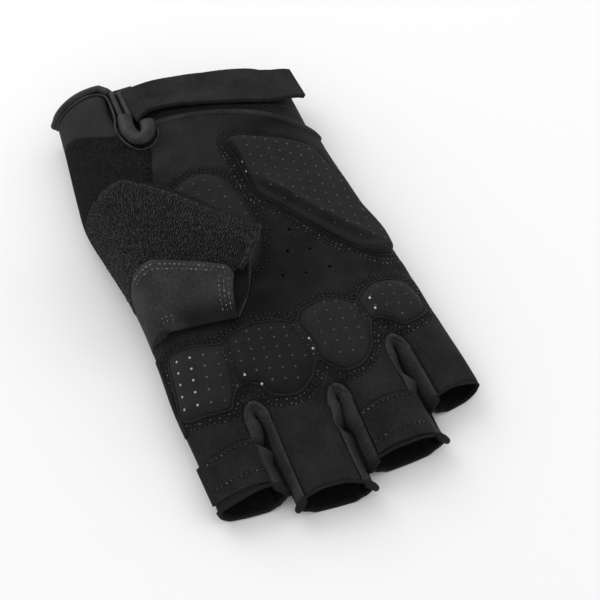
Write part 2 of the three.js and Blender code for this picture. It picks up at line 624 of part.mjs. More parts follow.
// Ring of the thumb stall: over the top from back to front, then back underneath
function thumbRing(row, root) {
  const stations = ROWS.thumb;
  const rise = clamp(row / THUMB_RISE_ROWS);
  const reach = clamp((row - THUMB_RISE_ROWS) / THUMB_REACH_ROWS);
  const swell = THUMB_SWELL * Math.sin(Math.PI * reach);
  const upper = (u, start) => {
    const crest = thumbStation(THUMB_CREST, u);
    if (row > THUMB_RISE_ROWS) {
      const point = mixPoint(crest, thumbStation(THUMB_MOUTH, u), reach);
      point[2] += swell * Math.sin(Math.PI * u);
      return point;
    }
    const turn = (rise * Math.PI) / 2;
    const out = 1 - Math.cos(turn);
    const bulge = THUMB_ROOT_BULGE * Math.sin(2 * turn) * Math.sin(Math.PI * u);
    return [mix(start[0], crest[0], out) - bulge, mix(start[1], crest[1], Math.sin(turn)),
      mix(start[2], crest[2], Math.sin(turn))];
  };
  const under = (u, start) => {
    if (row === 0) return start;
    if (row === 1) return [start[0] - THUMB_FOLD.out, start[1], start[2] + THUMB_FOLD.up];
    const lip = mixPoint(THUMB_UNDER_LIP.back, THUMB_UNDER_LIP.front, u);
    const share = (row - 2) / (THUMB_RISE_ROWS + THUMB_REACH_ROWS - 2);
    const [x, y] = mixPoint(start.slice(0, 2), lip, share);
    return [x, y, palmHeight(x, y) + thumbBed(x, y)];
  };
  const top = root.left.map((start, n) => upper(n / stations, start));
  const bottom = root.right.map((start, n) => under(n / stations, start));
  const cap = (edge, from, to, outward) => edge.map((start, n) => {
    const t = (n + 1) / (edge.length + 1);
    const round = Math.sin(Math.PI * t) * ease((row - 2) / 2);
    const straight = mixPoint(start, mixPoint(from, to, t), ease(row / THUMB_RISE_ROWS));
    return straight.map((value, axis) => value + outward[axis] * round);
  });
  const frontCap = cap(root.front, top[stations], bottom[stations], THUMB_EDGE_ROUND.front);
  const backCap = cap(root.back, bottom[0], top[0], THUMB_EDGE_ROUND.back);
  return [...top, ...frontCap, ...[...bottom].reverse(), ...backCap, top[0]];
}

function buildSkin() {
  const skin = new Skin();
  const rings = Array.from({ length: ROW_CROTCH + 1 }, (unused, row) => handRing(row));
  skin.net(rings, handPanel);
  FINGERS.forEach((unused, finger) => {
    const rows = Array.from({ length: FINGER_ROWS + 1 }, (none, row) => fingerRing(finger, row));
    skin.net(rows, (row, column) => fingerPanel(finger, column));
  });
  const hole = rings.slice(ROW_THUMB_BACK, ROW_THUMB_FRONT + 1);
  const root = {
    left: hole.map((ring) => ring[0]),
    right: hole.map((ring) => ring[SLIT_COLUMN]),
    front: hole[ROWS.thumb].slice(1, SLIT_COLUMN),
    back: hole[0].slice(1, SLIT_COLUMN).reverse(),
  };
  const count = THUMB_RISE_ROWS + THUMB_REACH_ROWS + 1;
  const rows = Array.from({ length: count }, (unused, row) => thumbRing(row, root).reverse());
  const around = rows[0].length - 1;
  skin.net(rows, (row, column) => {
    const station = around - 1 - column;
    if (station < THUMB_PATCH_STATION) return 'thumb_terry';
    if (station < ROWS.thumb + SLIT_COLUMN) return 'thumb_patch';
    return station < around - SLIT_COLUMN ? 'thumb_under' : 'thumb_terry';
  });
  return skin;
}

// Smooth closed outline through a pad's points, in even steps
function outlinePoints(points, count) {
  const curve = new THREE.CatmullRomCurve3(points.map(([x, y]) => new THREE.Vector3(x, y, 0)), true);
  return curve.getSpacedPoints(count).slice(0, -1).map((point) => [point.x, point.y]);
}

// Pad: domed cushion on the palm, in rings that close in on its middle
function pad({ outline, height, flank }) {
  const edge = outlinePoints(outline, PAD_STATIONS);
  const centre = [0, 1].map((axis) => edge.reduce((sum, point) => sum + point[axis], 0) / edge.length);
  const flanks = PAD_RINGS.map(({ across: share, rise }) => ({ scale: 1 - flank * share, rise }));
  const rings = [...flanks, PAD_PLATEAU];
  const points = [];
  const ringAt = (scale, lift) => edge.map((point) => above(...mixPoint(centre, point, scale), lift));
  rings.forEach(({ scale, rise }) => points.push(...ringAt(scale, CLEARANCE + height * rise)));
  points.push(above(...centre, CLEARANCE + height * PAD_PLATEAU.middle));
  const top = points.length;
  rings.forEach(({ scale }) => points.push(...ringAt(scale, CLEARANCE)));
  points.push(above(...centre, CLEARANCE));
  const n = edge.length;
  const triangles = [];
  const sign = Math.sign(THREE.ShapeUtils.area(edge.map(([x, y]) => new THREE.Vector2(x, y))));
  const face = (a, b, c) => triangles.push(sign > 0 ? [a, b, c] : [a, c, b]);
  for (let k = 0; k < n; k += 1) {
    const next = (k + 1) % n;
    for (let ring = 0; ring + 1 < rings.length; ring += 1) {
      const [a, b, c, d] = [ring * n + k, ring * n + next, (ring + 1) * n + next, (ring + 1) * n + k];
      face(a, b, c);
      face(a, c, d);
      face(top + a, top + c, top + b);
      face(top + a, top + d, top + c);
    }
    const inmost = (rings.length - 1) * n;
    face(inmost + k, inmost + next, top - 1);
    face(top + inmost + next, top + inmost + k, points.length - 1);
    face(top + k, top + next, next);
    face(top + k, next, k);
  }
  return closedGeometry(points.map((point) => new THREE.Vector3(...point)), triangles);
}

// Closure strap: its far edge runs parallel to the near one, over the crown of the cuff
function strap() {
  const from = STRAP[0].x;
  const to = STRAP[STRAP.length - 1].x;
  const xs = Array.from({ length: STRAP_COLUMNS + 1 }, (unused, n) => mix(from, to, n / STRAP_COLUMNS));
  const net = (extra) => STRAP_ROWS.map((share) => xs.map((x) => {
    const y = through(STRAP, 'x', 'y', x) + STRAP_WIDTH * share;
    const held = through(STRAP, 'x', 'z', x) - STRAP_FALL * share;
    return [x, y, Math.max(palmHeight(x, y) + STRAP_LIFT, held) + extra];
  }));
  return slab(net(STRAP_THICKNESS), net(0));
}

// Roll: round or flattened tube along a list of points
function roll(points, halfWidth, halfHeight, { sides, steps }) {
  const curve = new THREE.CatmullRomCurve3(points.map((point) => new THREE.Vector3(...point)));
  const stations = curve.getSpacedPoints(steps);
  const ring = (n) => {
    const ahead = stations[Math.min(n + 1, steps)];
    const behind = stations[Math.max(n - 1, 0)];
    const along = new THREE.Vector3().subVectors(ahead, behind).normalize();
    const aside = new THREE.Vector3(0, 0, 1).cross(along).normalize();
    const up = new THREE.Vector3().crossVectors(along, aside);
    return Array.from({ length: sides }, (unused, k) => {
      const angle = (2 * Math.PI * (k + 0.5)) / sides;
      return stations[n].clone().addScaledVector(aside, halfWidth * Math.cos(angle))
        .addScaledVector(up, halfHeight * Math.sin(angle));
    });
  };
  const vertices = stations.flatMap((unused, n) => ring(n));
  const triangles = [];
  for (let n = 0; n < steps; n += 1) {
    for (let k = 0; k < sides; k += 1) {
      const [a, b] = [n * sides + k, n * sides + ((k + 1) % sides)];
      triangles.push([a, b, b + sides], [a, b + sides, a + sides]);
    }
  }
  for (let k = 1; k + 1 < sides; k += 1) {
    triangles.push([0, k + 1, k], [steps * sides, steps * sides + k, steps * sides + k + 1]);
  }
  return closedGeometry(vertices, triangles);
}

function slitRoll({ x, top, bottom }) {
  const { radius, sink, stations } = SLIT_ROLL;
  const ys = Array.from({ length: stations }, (unused, n) => mix(top, bottom, n / (stations - 1)));
  return roll(ys.map((y) => [x, y, palmHeight(x, y) - sink]), radius, radius, SLIT_ROLL);
}

function keyholeRoll() {
  const { x, y, radius, leftTop, rightTop, toe } = KEYHOLE;
  const { halfWidth, halfHeight, lift, arc: arcSteps } = KEYHOLE_ROLL;
  const arc = Array.from({ length: arcSteps + 1 }, (unused, n) => {
    const angle = Math.PI + (Math.PI * n) / arcSteps;
    return [x + radius * Math.cos(angle), y + radius * Math.sin(angle)];
  });
  const leg = [[x - radius + toe, leftTop], [x - radius, (leftTop + y) / 2]];
  const route = [...leg, ...arc, [x + radius, rightTop]];
  const seat = ([px, py]) => [px, py, palmHeight(px, py) + CLEARANCE + halfHeight + lift];
  return roll(route.map(seat), halfWidth, halfHeight, KEYHOLE_ROLL);
}

function cuffRoll() {
  const { xs, radius, sink } = CUFF_ROLL;
  const route = xs.map((x) => {
    const y = across(WRIST_END, x);
    return [x, y + CLEARANCE + radius, palmHeight(x, y) - sink];
  });
  return roll(route, radius, radius, CUFF_ROLL);
}

function pullTab({ left, right, top, bottom }) {
  const row = (share, height) => Array.from({ length: TAB_COLUMNS + 1 }, (unused, n) => {
    const u = 0.5 - 0.5 * Math.cos((Math.PI * n) / TAB_COLUMNS);
    const y = mix(mix(top[0], bottom[0], share), mix(top[1], bottom[1], share), u);
    return above(mix(left, right, u), y, height);
  });
  const net = (height) => Array.from({ length: TAB_ROWS + 1 }, (unused, n) => row(n / TAB_ROWS, height));
  return slab(net(CLEARANCE + TAB_THICKNESS), net(CLEARANCE));
}

// Vent holes are cut through the palm panel
async function pierced(geometry) {
  const wasm = await Module();
  wasm.setup();
  const solid = (source) => {
    const plain = new THREE.BufferGeometry();
    plain.setAttribute('position', source.getAttribute('position').clone());
    plain.setIndex(source.getIndex());
    const merged = mergeVertices(plain, 1e-5);
    return new wasm.Manifold(new wasm.Mesh({
      numProp: 3,
      vertProperties: new Float32Array(merged.getAttribute('position').array),
      triVerts: new Uint32Array(merged.getIndex().array),
    }));
  };
  let panel = solid(geometry);
  for (const [x, y] of VENTS) {
    const punch = new THREE.CylinderGeometry(VENT_RADIUS, VENT_RADIUS, VENT_PUNCH, VENT_SIDES);
    punch.rotateX(Math.PI / 2);
    punch.translate(x, y, palmHeight(x, y));
    punch.deleteAttribute('normal');
    punch.deleteAttribute('uv');
    panel = panel.subtract(solid(punch));
  }
  const mesh = panel.getMesh();
  const result = new THREE.BufferGeometry();
  result.setAttribute('position', new THREE.BufferAttribute(new Float32Array(mesh.vertProperties), 3));
  result.setIndex(new THREE.BufferAttribute(new Uint32Array(mesh.triVerts), 1));
  return result;
}

const glove = new THREE.Group();

function add(name, geometry, material) {
  const mesh = new THREE.Mesh(geometry, material);
  mesh.name = name;
  glove.add(mesh);
}

const skin = buildSkin();
const outward = skin.normals();
const PANELS = [
  { name: 'palm_panel', material: SUEDE },
  { name: 'wrist_terry', material: TERRY },
  { name: 'cuff_flap', material: KNIT },
  { name: 'cuff_band', material: KNIT },
  { name: 'back_panel', material: KNIT },
  { name: 'fourchette_index_middle', material: KNIT },
  { name: 'fourchette_middle_ring', material: KNIT },
  { name: 'fourchette_ring_little', material: KNIT },
  { name: 'thumb_terry', material: TERRY },
  { name: 'thumb_patch', material: SUEDE },
  { name: 'thumb_under', material: KNIT },
];
for (const { name, material } of PANELS) {
  const wall = skin.wall(name, outward);
  add(name, name === 'palm_panel' ? await pierced(wall) : wall, material);
}
PADS.forEach((row) => add(row.name, pad(row), PAD_CLOTH));
TABS.forEach((row) => add(row.name, pullTab(row), SUEDE));
SLIT_ROLLS.forEach((row) => add(row.name, slitRoll(row), BINDING));
add('keyhole_roll', keyholeRoll(), BINDING);
add('cuff_binding', cuffRoll(), BINDING);
add('closure_strap', strap(), SUEDE);

// The origin is under the middle of the glove, on the surface that it rests on
const box = new THREE.Box3().setFromObject(glove);
glove.position.set(-(box.min.x + box.max.x) / 2, -(box.min.y + box.max.y) / 2, 0);

export default glove;
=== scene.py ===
import math
import random
from bisect import bisect_right
from functools import lru_cache

import bmesh
import bpy
import numpy as np
from mathutils import Matrix, Vector, noise
from mathutils.kdtree import KDTree


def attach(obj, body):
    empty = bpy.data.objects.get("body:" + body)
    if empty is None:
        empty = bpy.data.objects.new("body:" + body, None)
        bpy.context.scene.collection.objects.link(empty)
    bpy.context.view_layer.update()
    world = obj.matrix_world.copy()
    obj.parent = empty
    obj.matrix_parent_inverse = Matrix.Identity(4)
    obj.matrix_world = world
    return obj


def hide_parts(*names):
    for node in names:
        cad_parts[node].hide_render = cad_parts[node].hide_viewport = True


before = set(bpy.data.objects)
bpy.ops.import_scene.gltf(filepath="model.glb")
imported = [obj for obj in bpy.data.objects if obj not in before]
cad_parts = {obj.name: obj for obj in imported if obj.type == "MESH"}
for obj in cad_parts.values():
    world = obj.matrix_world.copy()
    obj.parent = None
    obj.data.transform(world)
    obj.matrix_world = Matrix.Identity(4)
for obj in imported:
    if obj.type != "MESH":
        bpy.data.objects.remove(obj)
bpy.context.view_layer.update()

MM = 0.001
MIDDLE = (-10.457, 11.247)

# Camera: 55 degrees above the floor, turned 22 degrees to the thumb side
VIEW_TARGET = (0.0, 0.0)
VIEW_ELEVATION = math.radians(55)
VIEW_TURN = math.radians(-22)
VIEW_DISTANCE = 0.560
LENS = 96
SENSOR = 36


def place(point):
    """Millimetres to metres, from the hand's own axes to the middle of the glove."""
    x, y, z = point
    return Vector(((x - MIDDLE[0]) * MM, (y - MIDDLE[1]) * MM, z * MM))


def add_object(name, data):
    made = bpy.data.objects.new(name, data)
    bpy.context.scene.collection.objects.link(made)
    return made


def add_camera():
    aside = Vector((math.cos(VIEW_TURN), math.sin(VIEW_TURN), 0))
    back = Vector((
        math.sin(VIEW_TURN) * math.cos(VIEW_ELEVATION),
        -math.cos(VIEW_TURN) * math.cos(VIEW_ELEVATION),
        math.sin(VIEW_ELEVATION),
    ))
    up = back.cross(aside)
    data = bpy.data.cameras.new("view")
    data.lens = LENS
    data.sensor_width = SENSOR
    camera = add_object("view", data)
    camera.matrix_world = Matrix((aside, up, back)).transposed().to_4x4()
    camera.location = place((*VIEW_TARGET, 0)) + back * VIEW_DISTANCE
    bpy.context.scene.camera = camera


add_camera()

# Cloth
CLOTH = 1.2
GROOVE_WIDTH = 1.5
GROOVE_DEPTH = 0.5
SPARED = 0.8
CLEARANCE = 0.35

# Hand outline: y station, left edge x, right edge x, crown height, height of the side seam
HAND = [
    (-80, -56.4, 41.6, 12.4, 5.6),
    (-66, -56.4, 41.2, 13.6, 6.2),
    (-50, -56.6, 40.2, 17.0, 7.2),
    (-34, -57.2, 38.6, 20.8, 8),
    (-14, -56.4, 37.4, 21.3, 8),
    (14, -56.8, 35.2, 21.6, 8),
    (34, -59.6, 33.2, 23.6, 8),
    (52, -61.8, 31.6, 25.8, 8),
    (66, -60.6, 31.4, 26.4, 8.2),
    (82, -58.6, 31.4, 25.4, 8.6),
    (99, -56.8, 31.2, 23.6, 9),
]
CROWN_SQUARENESS = 2.6
UNDERSIDE_ROUNDING = 1.15

# Lines across the hand from the thumb side to the little finger side, as x and y
WRIST_END = [(-62, 99.6), (-38, 98), (-20, 95.6), (0, 93.2), (18, 90.8), (32, 89.4)]
CUFF_SEAM = [(-62, 88), (-56, 85.4), (-51.4, 82.3), (-45.8, 78.0), (-41, 75.4), (-36, 74.6),
             (-22, 74.8), (4, 69), (16, 64.4), (27, 58.6), (32, 56.4)]
KEYHOLE_END = [(-62, 70), (-36, 66.8), (-30, 66.4), (-10, 65), (16, 58.5), (32, 51)]
THUMB_BACK = [(-62, 49), (-36, 46.5), (32, 42)]
THUMB_FRONT = [(-57, -7), (-48, -7.4), (38, -7.4)]
CROTCH_LINE = [(-57, -40), (-45, -42.4), (-34, -41.2), (-20, -45.6), (-6.4, -45), (3, -42.8),
               (9, -39.2), (14.2, -35.4), (18.5, -34.6), (29, -34.2), (38.6, -33)]
BANDS = [(0, WRIST_END), (3, CUFF_SEAM), (5, KEYHOLE_END), (8, THUMB_BACK), (18, THUMB_FRONT),
         (23, CROTCH_LINE)]
ROW_CUFF, ROW_KEYHOLE, ROW_THUMB_BACK, ROW_THUMB_FRONT, ROW_CROTCH = 3, 5, 8, 18, 23

# Gaps between fingers: x and y at the crotch, x between the hems
GAPS = [(-34.0, -41.2, -33.3), (-6.4, -45.0, -5.9), (18.5, -34.6, 22.6)]
GAP_NAMES = ["index_middle", "middle_ring", "ring_little"]
GAP_RUN = 38
CROTCH_ROUND = 6
CROTCH_FIRST = 1.8
PALM_INSET = 4.2
BACK_INSET = 3.2
HALF_GAP = 0.34
CROTCH_BULGE = 2.4
CROTCH_CREEP = 0.3
CROTCH_CATCH_UP = 4.2

# How the palm sinks and the back rises towards each gap: height, where it starts above the crotch, how
# long it grows, reach to the side
PALM_DIP = (3.1, 12, 14, 8)
BACK_RISE = (2.4, 6, 8, 4.5)

# Fingers: hem y at the left and right of the palm face, bow of the hem, how far the back reaches on
FINGERS = [(-68.4, -68.5, -0.6, 4.4), (-76.8, -78.8, 0.3, 1.4), (-72.4, -71.6, -0.5, 1.2),
           (-58.6, -57.2, 0.2, 2.4)]
OUTER_START = (-40, -33)

# Lines of the slit, the terry seam and the palm side of the thumb hole: y and x
SLIT_LEFT = [(-41, -48.4), (-24, -49.2), (-7, -49.0), (10, -48.4), (28, -46.0), (40, -41.5),
             (47, -36.5), (57, -33.4), (64, -31.9), (68, -34.8), (74, -35.4), (78, -38.0), (99, -38.0)]
SLIT_RIGHT = [(-41, -42.5), (-7, -43.0), (10, -42.5), (28, -40.0), (40, -35.5), (47, -31.4),
              (60, -28.6), (66.6, -31.2), (74, -31.2), (78, -31.5), (99, -31.5)]
SLIT_SHARES = (0.36, 0.66)

# Thumb stall laid over the palm, from its back edge (u = 0) to its front edge (u = 1): u, x, y, z
THUMB_CREST = [
    (0, -46.0, 49.0, 31.6), (0.1, -46.4, 45.4, 34.6), (0.25, -47.0, 37.5, 36.0),
    (0.45, -47.6, 26.0, 36.6), (0.6, -48.0, 17.0, 36.0), (0.7, -48.4, 11.0, 34.4),
    (0.8, -49.0, 5.0, 30.6), (0.9, -49.4, -1.5, 26.0), (1, -49.6, -6.8, 20.9),
]
THUMB_MOUTH = [
    (0, -7.6, 18.2, 31.6), (0.1, -9.4, 14.6, 33.6), (0.25, -11.8, 9.6, 34.4),
    (0.45, -15.6, 4.6, 34.8), (0.6, -19.6, 1.2, 34.2), (0.7, -23.0, -0.8, 33.0),
    (0.8, -25.2, -3.6, 29.6), (0.9, -26.8, -8.0, 27.2), (1, -27.6, -12.4, 24.8),
]
THUMB_UNDER_LIP = ((-8.0, 18.4), (-27.2, -12.8))
THUMB_RISE = 4
THUMB_ROWS = 10
THUMB_PATCH_FROM = 0.7
THUMB_BED = 0.75
THUMB_OVER_PAD = (-21.5, 24, 17.5, 26)
THUMB_PAD_LIFT = 3.1
THUMB_PAD_RIM = (1.16, 0.2)
THUMB_FOLD = (0.7, 0.3)
THUMB_ROOT_BULGE = 2.2
THUMB_SWELL = 1.2
THUMB_CORNER_PULL = Vector((-2.0, -4.4, 0))
THUMB_CORNER = (5, 0.1, 0.4)
THUMB_LIP_BOW = 1.5
THUMB_LIP_BOW_FROM = 0.45
THUMB_FRONT_ROUND = Vector((-0.3, -1.2, 0))
THUMB_BACK_ROUND = Vector((1.1, 1.4, -0.1))

# Soft hollows and swells of the palm: x, y, half length, half width, turn in degrees, height
RELIEF = [
    (-50, 94, 13, 12, 0, 4.6), (4, 2, 15, 11, 20, -1.5), (-44, -60, 9, 5, 80, 0.7),
    (-20, -62, 12, 7, 85, 0.6), (8, -58, 10, 6, 80, 0.6), (36, 38, 9, 3, 60, 0.8),
    (-28, 56, 10, 3.4, 15, 0.7), (16, 60, 9, 3, -20, -0.7),
]


def clamp(t, low=0.0, high=1.0):
    return min(high, max(low, t))


def mix(a, b, t):
    return a + (b - a) * t


def ease(t):
    t = clamp(t)
    return t * t * (3 - 2 * t)


def through(rows, at):
    """Smooth curve through a table's rows, keyed by their first column and level past its ends."""
    if at <= rows[0][0]:
        return rows[0][1:]
    if at >= rows[-1][0]:
        return rows[-1][1:]
    keys = [row[0] for row in rows]
    last = len(rows) - 1
    i = bisect_right(keys, at) - 1
    step = keys[i + 1] - keys[i]
    t = (at - keys[i]) / step

    def slope(n, column):
        return (rows[n + 1][column] - rows[n][column]) / (keys[n + 1] - keys[n])

    def tangent(n, column):
        if n == 0:
            return slope(0, column)
        if n == last:
            return slope(last - 1, column)
        before = keys[n] - keys[n - 1]
        after = keys[n + 1] - keys[n]
        return (slope(n - 1, column) * after + slope(n, column) * before) / (before + after)

    values = []
    for column in range(1, len(rows[0])):
        start = step * tangent(i, column)
        end = step * tangent(i + 1, column)
        rise = rows[i + 1][column] - rows[i][column]
        cubic = start + t * (3 * rise - 2 * start - end + t * (start + end - 2 * rise))
        values.append(rows[i][column] + t * cubic)
    return values


@lru_cache(maxsize=200000)
def hand(y):
    """Left edge, right edge, crown and side seam of the hand at one station."""
    return through(HAND, y)


def across(line, x):
    return through(line, x)[0]


def gap_centre(gap, y):
    return mix(gap[0], gap[2], clamp((gap[1] - y) / GAP_RUN))


def gap_opening(distance):
    return math.sqrt(clamp(1 - (1 - clamp(distance / CROTCH_ROUND)) ** 2))


def beside_gap(x, y, gap, inset):
    """Distance from the edge of a gap, 0 inside it."""
    return max(abs(x - gap_centre(gap, y)) - inset * gap_opening(gap[1] - y), 0)


def swells(spots, x, y):
    """Sum of soft round swells: x, y, half length, half width, turn in degrees, height."""
    total = 0.0
    for spot_x, spot_y, length, width, turn, height in spots:
        c = math.cos(math.radians(turn))
        s = math.sin(math.radians(turn))
        along = (x - spot_x) * c + (y - spot_y) * s
        over = (y - spot_y) * c - (x - spot_x) * s
        total += height * math.exp(-(along / length) ** 2 - (over / width) ** 2)
    return total


@lru_cache(maxsize=400000)
def palm_height(x, y):
    left, right, crown, side = hand(y)
    out = clamp(abs(2 * x - left - right) / (right - left))
    swell = math.sqrt(1 - out ** CROWN_SQUARENESS)
    z = side + (crown - side) * swell
    depth, start, grown, reach = PALM_DIP
    for gap in GAPS:
        share = clamp(1 - beside_gap(x, y, gap, PALM_INSET) / reach) ** 2
        z -= depth * ease((gap[1] + start - y) / grown) * share
    return z + swell * swells(RELIEF, x, y)


def back_height(x, y):
    left, right, _, side = hand(y)
    edge = max(0, min(x - left, right - x))
    inset = 1 - clamp(edge / (side * UNDERSIDE_ROUNDING))
    z = side * (1 - math.sqrt(1 - inset ** 2))
    height, start, grown, reach = BACK_RISE
    for gap in GAPS:
        share = 1 - ease(beside_gap(x, y, gap, BACK_INSET) / reach)
        z += height * ease((gap[1] + start - y) / grown) * share
    return z


def palm_point(x, y, lift=0.0):
    return Vector((x, y, palm_height(x, y) + lift))


def above(x, y, height):
    """Point at a height over the palm, measured square to it."""
    step = 0.4
    steepest = 2.5
    dx = clamp((palm_height(x + step, y) - palm_height(x - step, y)) / (2 * step), -steepest, steepest)
    dy = clamp((palm_height(x, y + step) - palm_height(x, y - step)) / (2 * step), -steepest, steepest)
    size = math.sqrt(dx * dx + dy * dy + 1)
    return Vector((x - dx / size * height, y - dy / size * height, palm_height(x, y) + height / size))


def row_y(row, x):
    for (first, line), (last, following) in zip(BANDS, BANDS[1:]):
        if row <= last:
            return mix(across(line, x), across(following, x), (row - first) / (last - first))
    return across(CROTCH_LINE, x)


STOPS = [hand(OUTER_START[0])[0], GAPS[0][0], GAPS[1][0], GAPS[2][0], hand(OUTER_START[1])[1]]
SPAN = STOPS[4] - STOPS[0]
SLIT_STOPS = [(mix(STOPS[0], STOPS[1], share) - STOPS[0]) / SPAN for share in SLIT_SHARES]


def column_x(row, finger, u):
    """X of the line that runs from a place on one finger's root up to the wrist."""
    crotch = mix(STOPS[finger], STOPS[finger + 1], u)
    own = (crotch - STOPS[0]) / SPAN
    if row >= ROW_CROTCH:
        return crotch
    x = crotch
    first, last = SLIT_STOPS
    for _ in range(3):
        y = row_y(row, x)
        left, right = hand(y)[:2]
        slit_left = across(SLIT_LEFT, y)
        slit_right = across(SLIT_RIGHT, y)
        if own <= first:
            warped = mix(left, slit_left, own / first)
        elif own >= last:
            warped = mix(slit_right, right, (own - last) / (1 - last))
        else:
            warped = mix(slit_left, slit_right, (own - first) / (last - first))
        straight = ease((row - ROW_THUMB_FRONT) / (ROW_CROTCH - ROW_THUMB_FRONT))
        x = mix(warped, mix(left, right, own), straight)
    return x


def side_point(row, which):
    x = STOPS[4] if which else STOPS[0]
    y = OUTER_START[which]
    if row < ROW_CROTCH:
        for _ in range(3):
            x = hand(row_y(row, x))[which]
        y = row_y(row, x)
    return Vector((x, y, hand(y)[3]))


def zone_point(row, finger, u, back=False):
    """Point of the palm or of the back of the hand, above the roots of the fingers."""
    if finger == 0 and u <= 0:
        return side_point(row, 0)
    if finger == 3 and u >= 1:
        return side_point(row, 1)
    if not back:
        x = column_x(row, finger, u)
        return palm_point(x, row_y(row, x))
    own = (mix(STOPS[finger], STOPS[finger + 1], u) - STOPS[0]) / SPAN
    x = mix(side_point(row, 0).x, side_point(row, 1).x, own)
    y = row_y(row, x)
    return Vector((x, y, back_height(x, y)))


def wall_foot(number, side):
    """Y of the hem on one side of a gap, -1 left or 1 right, and how far the back reaches on there."""
    finger = number if side < 0 else number + 1
    return FINGERS[finger][1 if side < 0 else 0], FINGERS[finger][3]


def wall_run(number, side):
    return GAPS[number][1] - wall_foot(number, side)[0]


def seam_point(number, side, run, level):
    """Point of a side wall, run below the crotch: level 0 at the palm, 1 at the back."""
    gap = GAPS[number]
    lip = wall_foot(number, side)[1]
    share = run / wall_run(number, side)
    opening = gap_opening(run)
    belly = 4 * level * (1 - level)
    y = gap[1] - run - lip * share * level - CROTCH_BULGE * belly * (1 - share) ** 2
    control = 2 * HALF_GAP - 0.5 * (PALM_INSET + BACK_INSET)
    inset = (1 - level) ** 2 * PALM_INSET + 0.5 * belly * control + level ** 2 * BACK_INSET
    centre = gap_centre(gap, y)
    top = palm_height(centre + side * PALM_INSET * opening, gap[1] - run)
    bottom = back_height(centre + side * BACK_INSET * opening, gap[1] - run - lip * share)
    return Vector((centre + side * inset * opening, y, mix(top, bottom, level)))


def after_crotch(start, straight, share):
    """Y of a row of the stalls: it leaves the crotch line slowly and then follows the straight row."""
    run = share * GAP_RUN
    if run < CROTCH_FIRST:
        blend = ease(run / CROTCH_FIRST / 2)
    else:
        blend = ease(0.5 + 0.5 * (run - CROTCH_FIRST) / CROTCH_CATCH_UP)
    return min(mix(start, straight, blend), start - CROTCH_CREEP * run)


def outer_edge_point(finger, share):
    """Point of the outer edge of the first or the last finger."""
    which = 0 if finger == 0 else 1
    start = OUTER_START[which]
    if share <= 0:
        return Vector((STOPS[4 * which], start, hand(start)[3]))
    straight = mix(start, FINGERS[finger][which], share) - FINGERS[finger][3] * 0.5 * share
    y = after_crotch(start, straight, share)
    return Vector((hand(y)[which], y, hand(y)[3]))


def finger_edge(finger, right, share, level):
    """Point of a finger's left or right edge, from the crotch (share 0) to the hem (share 1)."""
    number, side = (finger, -1) if right else (finger - 1, 1)
    if 0 <= number < len(GAPS):
        return seam_point(number, side, share * wall_run(number, side), level)
    return outer_edge_point(finger, share)


def finger_face(finger, share, u, level):
    """Point of a finger's palm face (level 0) or back face (level 1)."""
    left = finger_edge(finger, False, share, level)
    right = finger_edge(finger, True, share, level)
    if u <= 0:
        return left
    if u >= 1:
        return right
    x = mix(left.x, right.x, u)
    bow = FINGERS[finger][2]
    bend = bow if level == 0 else -abs(bow)
    straight = mix(left.y, right.y, u) + bend * 4 * u * (1 - u) * share
    y = after_crotch(across(CROTCH_LINE, x), straight, share)
    height = palm_height if level == 0 else back_height
    return Vector((x, y, height(x, y)))


def thumb_root(edge, u):
    """Edge of the thumb hole: its left and right sides from back to front, its front and its back."""
    if edge == "left":
        return side_point(mix(ROW_THUMB_BACK, ROW_THUMB_FRONT, u), 0)
    if edge == "right":
        return zone_point(mix(ROW_THUMB_BACK, ROW_THUMB_FRONT, u), 0, SLIT_SHARES[0])
    row = ROW_THUMB_FRONT if edge == "front" else ROW_THUMB_BACK
    return zone_point(row, 0, SLIT_SHARES[0] * u)


def thumb_bed(x, y):
    """Height of the stall's lower sheet over the palm, more where the pad lies under it."""
    pad_x, pad_y, half_width, half_length = THUMB_OVER_PAD
    reach = math.hypot((x - pad_x) / half_width, (y - pad_y) / half_length)
    rim, slope = THUMB_PAD_RIM
    return THUMB_BED + THUMB_PAD_LIFT * ease((rim - reach) / slope)


def mouth_pull(row, u):
    """How far the back corner of the mouth hangs towards the fingers."""
    first_row, full_u, fade = THUMB_CORNER
    down = ease((row - first_row) / (THUMB_ROWS - first_row))
    return THUMB_CORNER_PULL * (down * (1 - ease((u - full_u) / fade)))


def thumb_upper(row, u):
    start = thumb_root("left", u)
    crest = Vector(through(THUMB_CREST, u))
    if row > THUMB_RISE:
        reach = (row - THUMB_RISE) / (THUMB_ROWS - THUMB_RISE)
        point = crest.lerp(Vector(through(THUMB_MOUTH, u)), reach)
        point.z += THUMB_SWELL * math.sin(math.pi * reach) * math.sin(math.pi * u)
        return point + mouth_pull(row, u)
    turn = row / THUMB_RISE * math.pi / 2
    bulge = THUMB_ROOT_BULGE * math.sin(2 * turn) * math.sin(math.pi * u)
    return Vector((
        mix(start.x, crest.x, 1 - math.cos(turn)) - bulge,
        mix(start.y, crest.y, math.sin(turn)),
        mix(start.z, crest.z, math.sin(turn)),
    ))


def thumb_lower(row, u):
    start = thumb_root("right", u)
    fold = start + Vector((-THUMB_FOLD[0], 0, THUMB_FOLD[1]))
    if row <= 1:
        return start.lerp(fold, row)
    (back_x, back_y), (front_x, front_y) = THUMB_UNDER_LIP
    share = max(row - 2, 0) / (THUMB_ROWS - 2)
    pull = mouth_pull(row, u)
    along_lip = clamp((u - THUMB_LIP_BOW_FROM) / (1 - THUMB_LIP_BOW_FROM))
    bow = THUMB_LIP_BOW * share * math.sin(math.pi * along_lip)
    x = mix(start.x, mix(back_x, front_x, u), share) + pull.x + bow
    y = mix(start.y, mix(back_y, front_y, u), share) + pull.y
    laid = Vector((x, y, palm_height(x, y) + thumb_bed(x, y)))
    return laid if row >= 2 else fold.lerp(laid, row - 1)


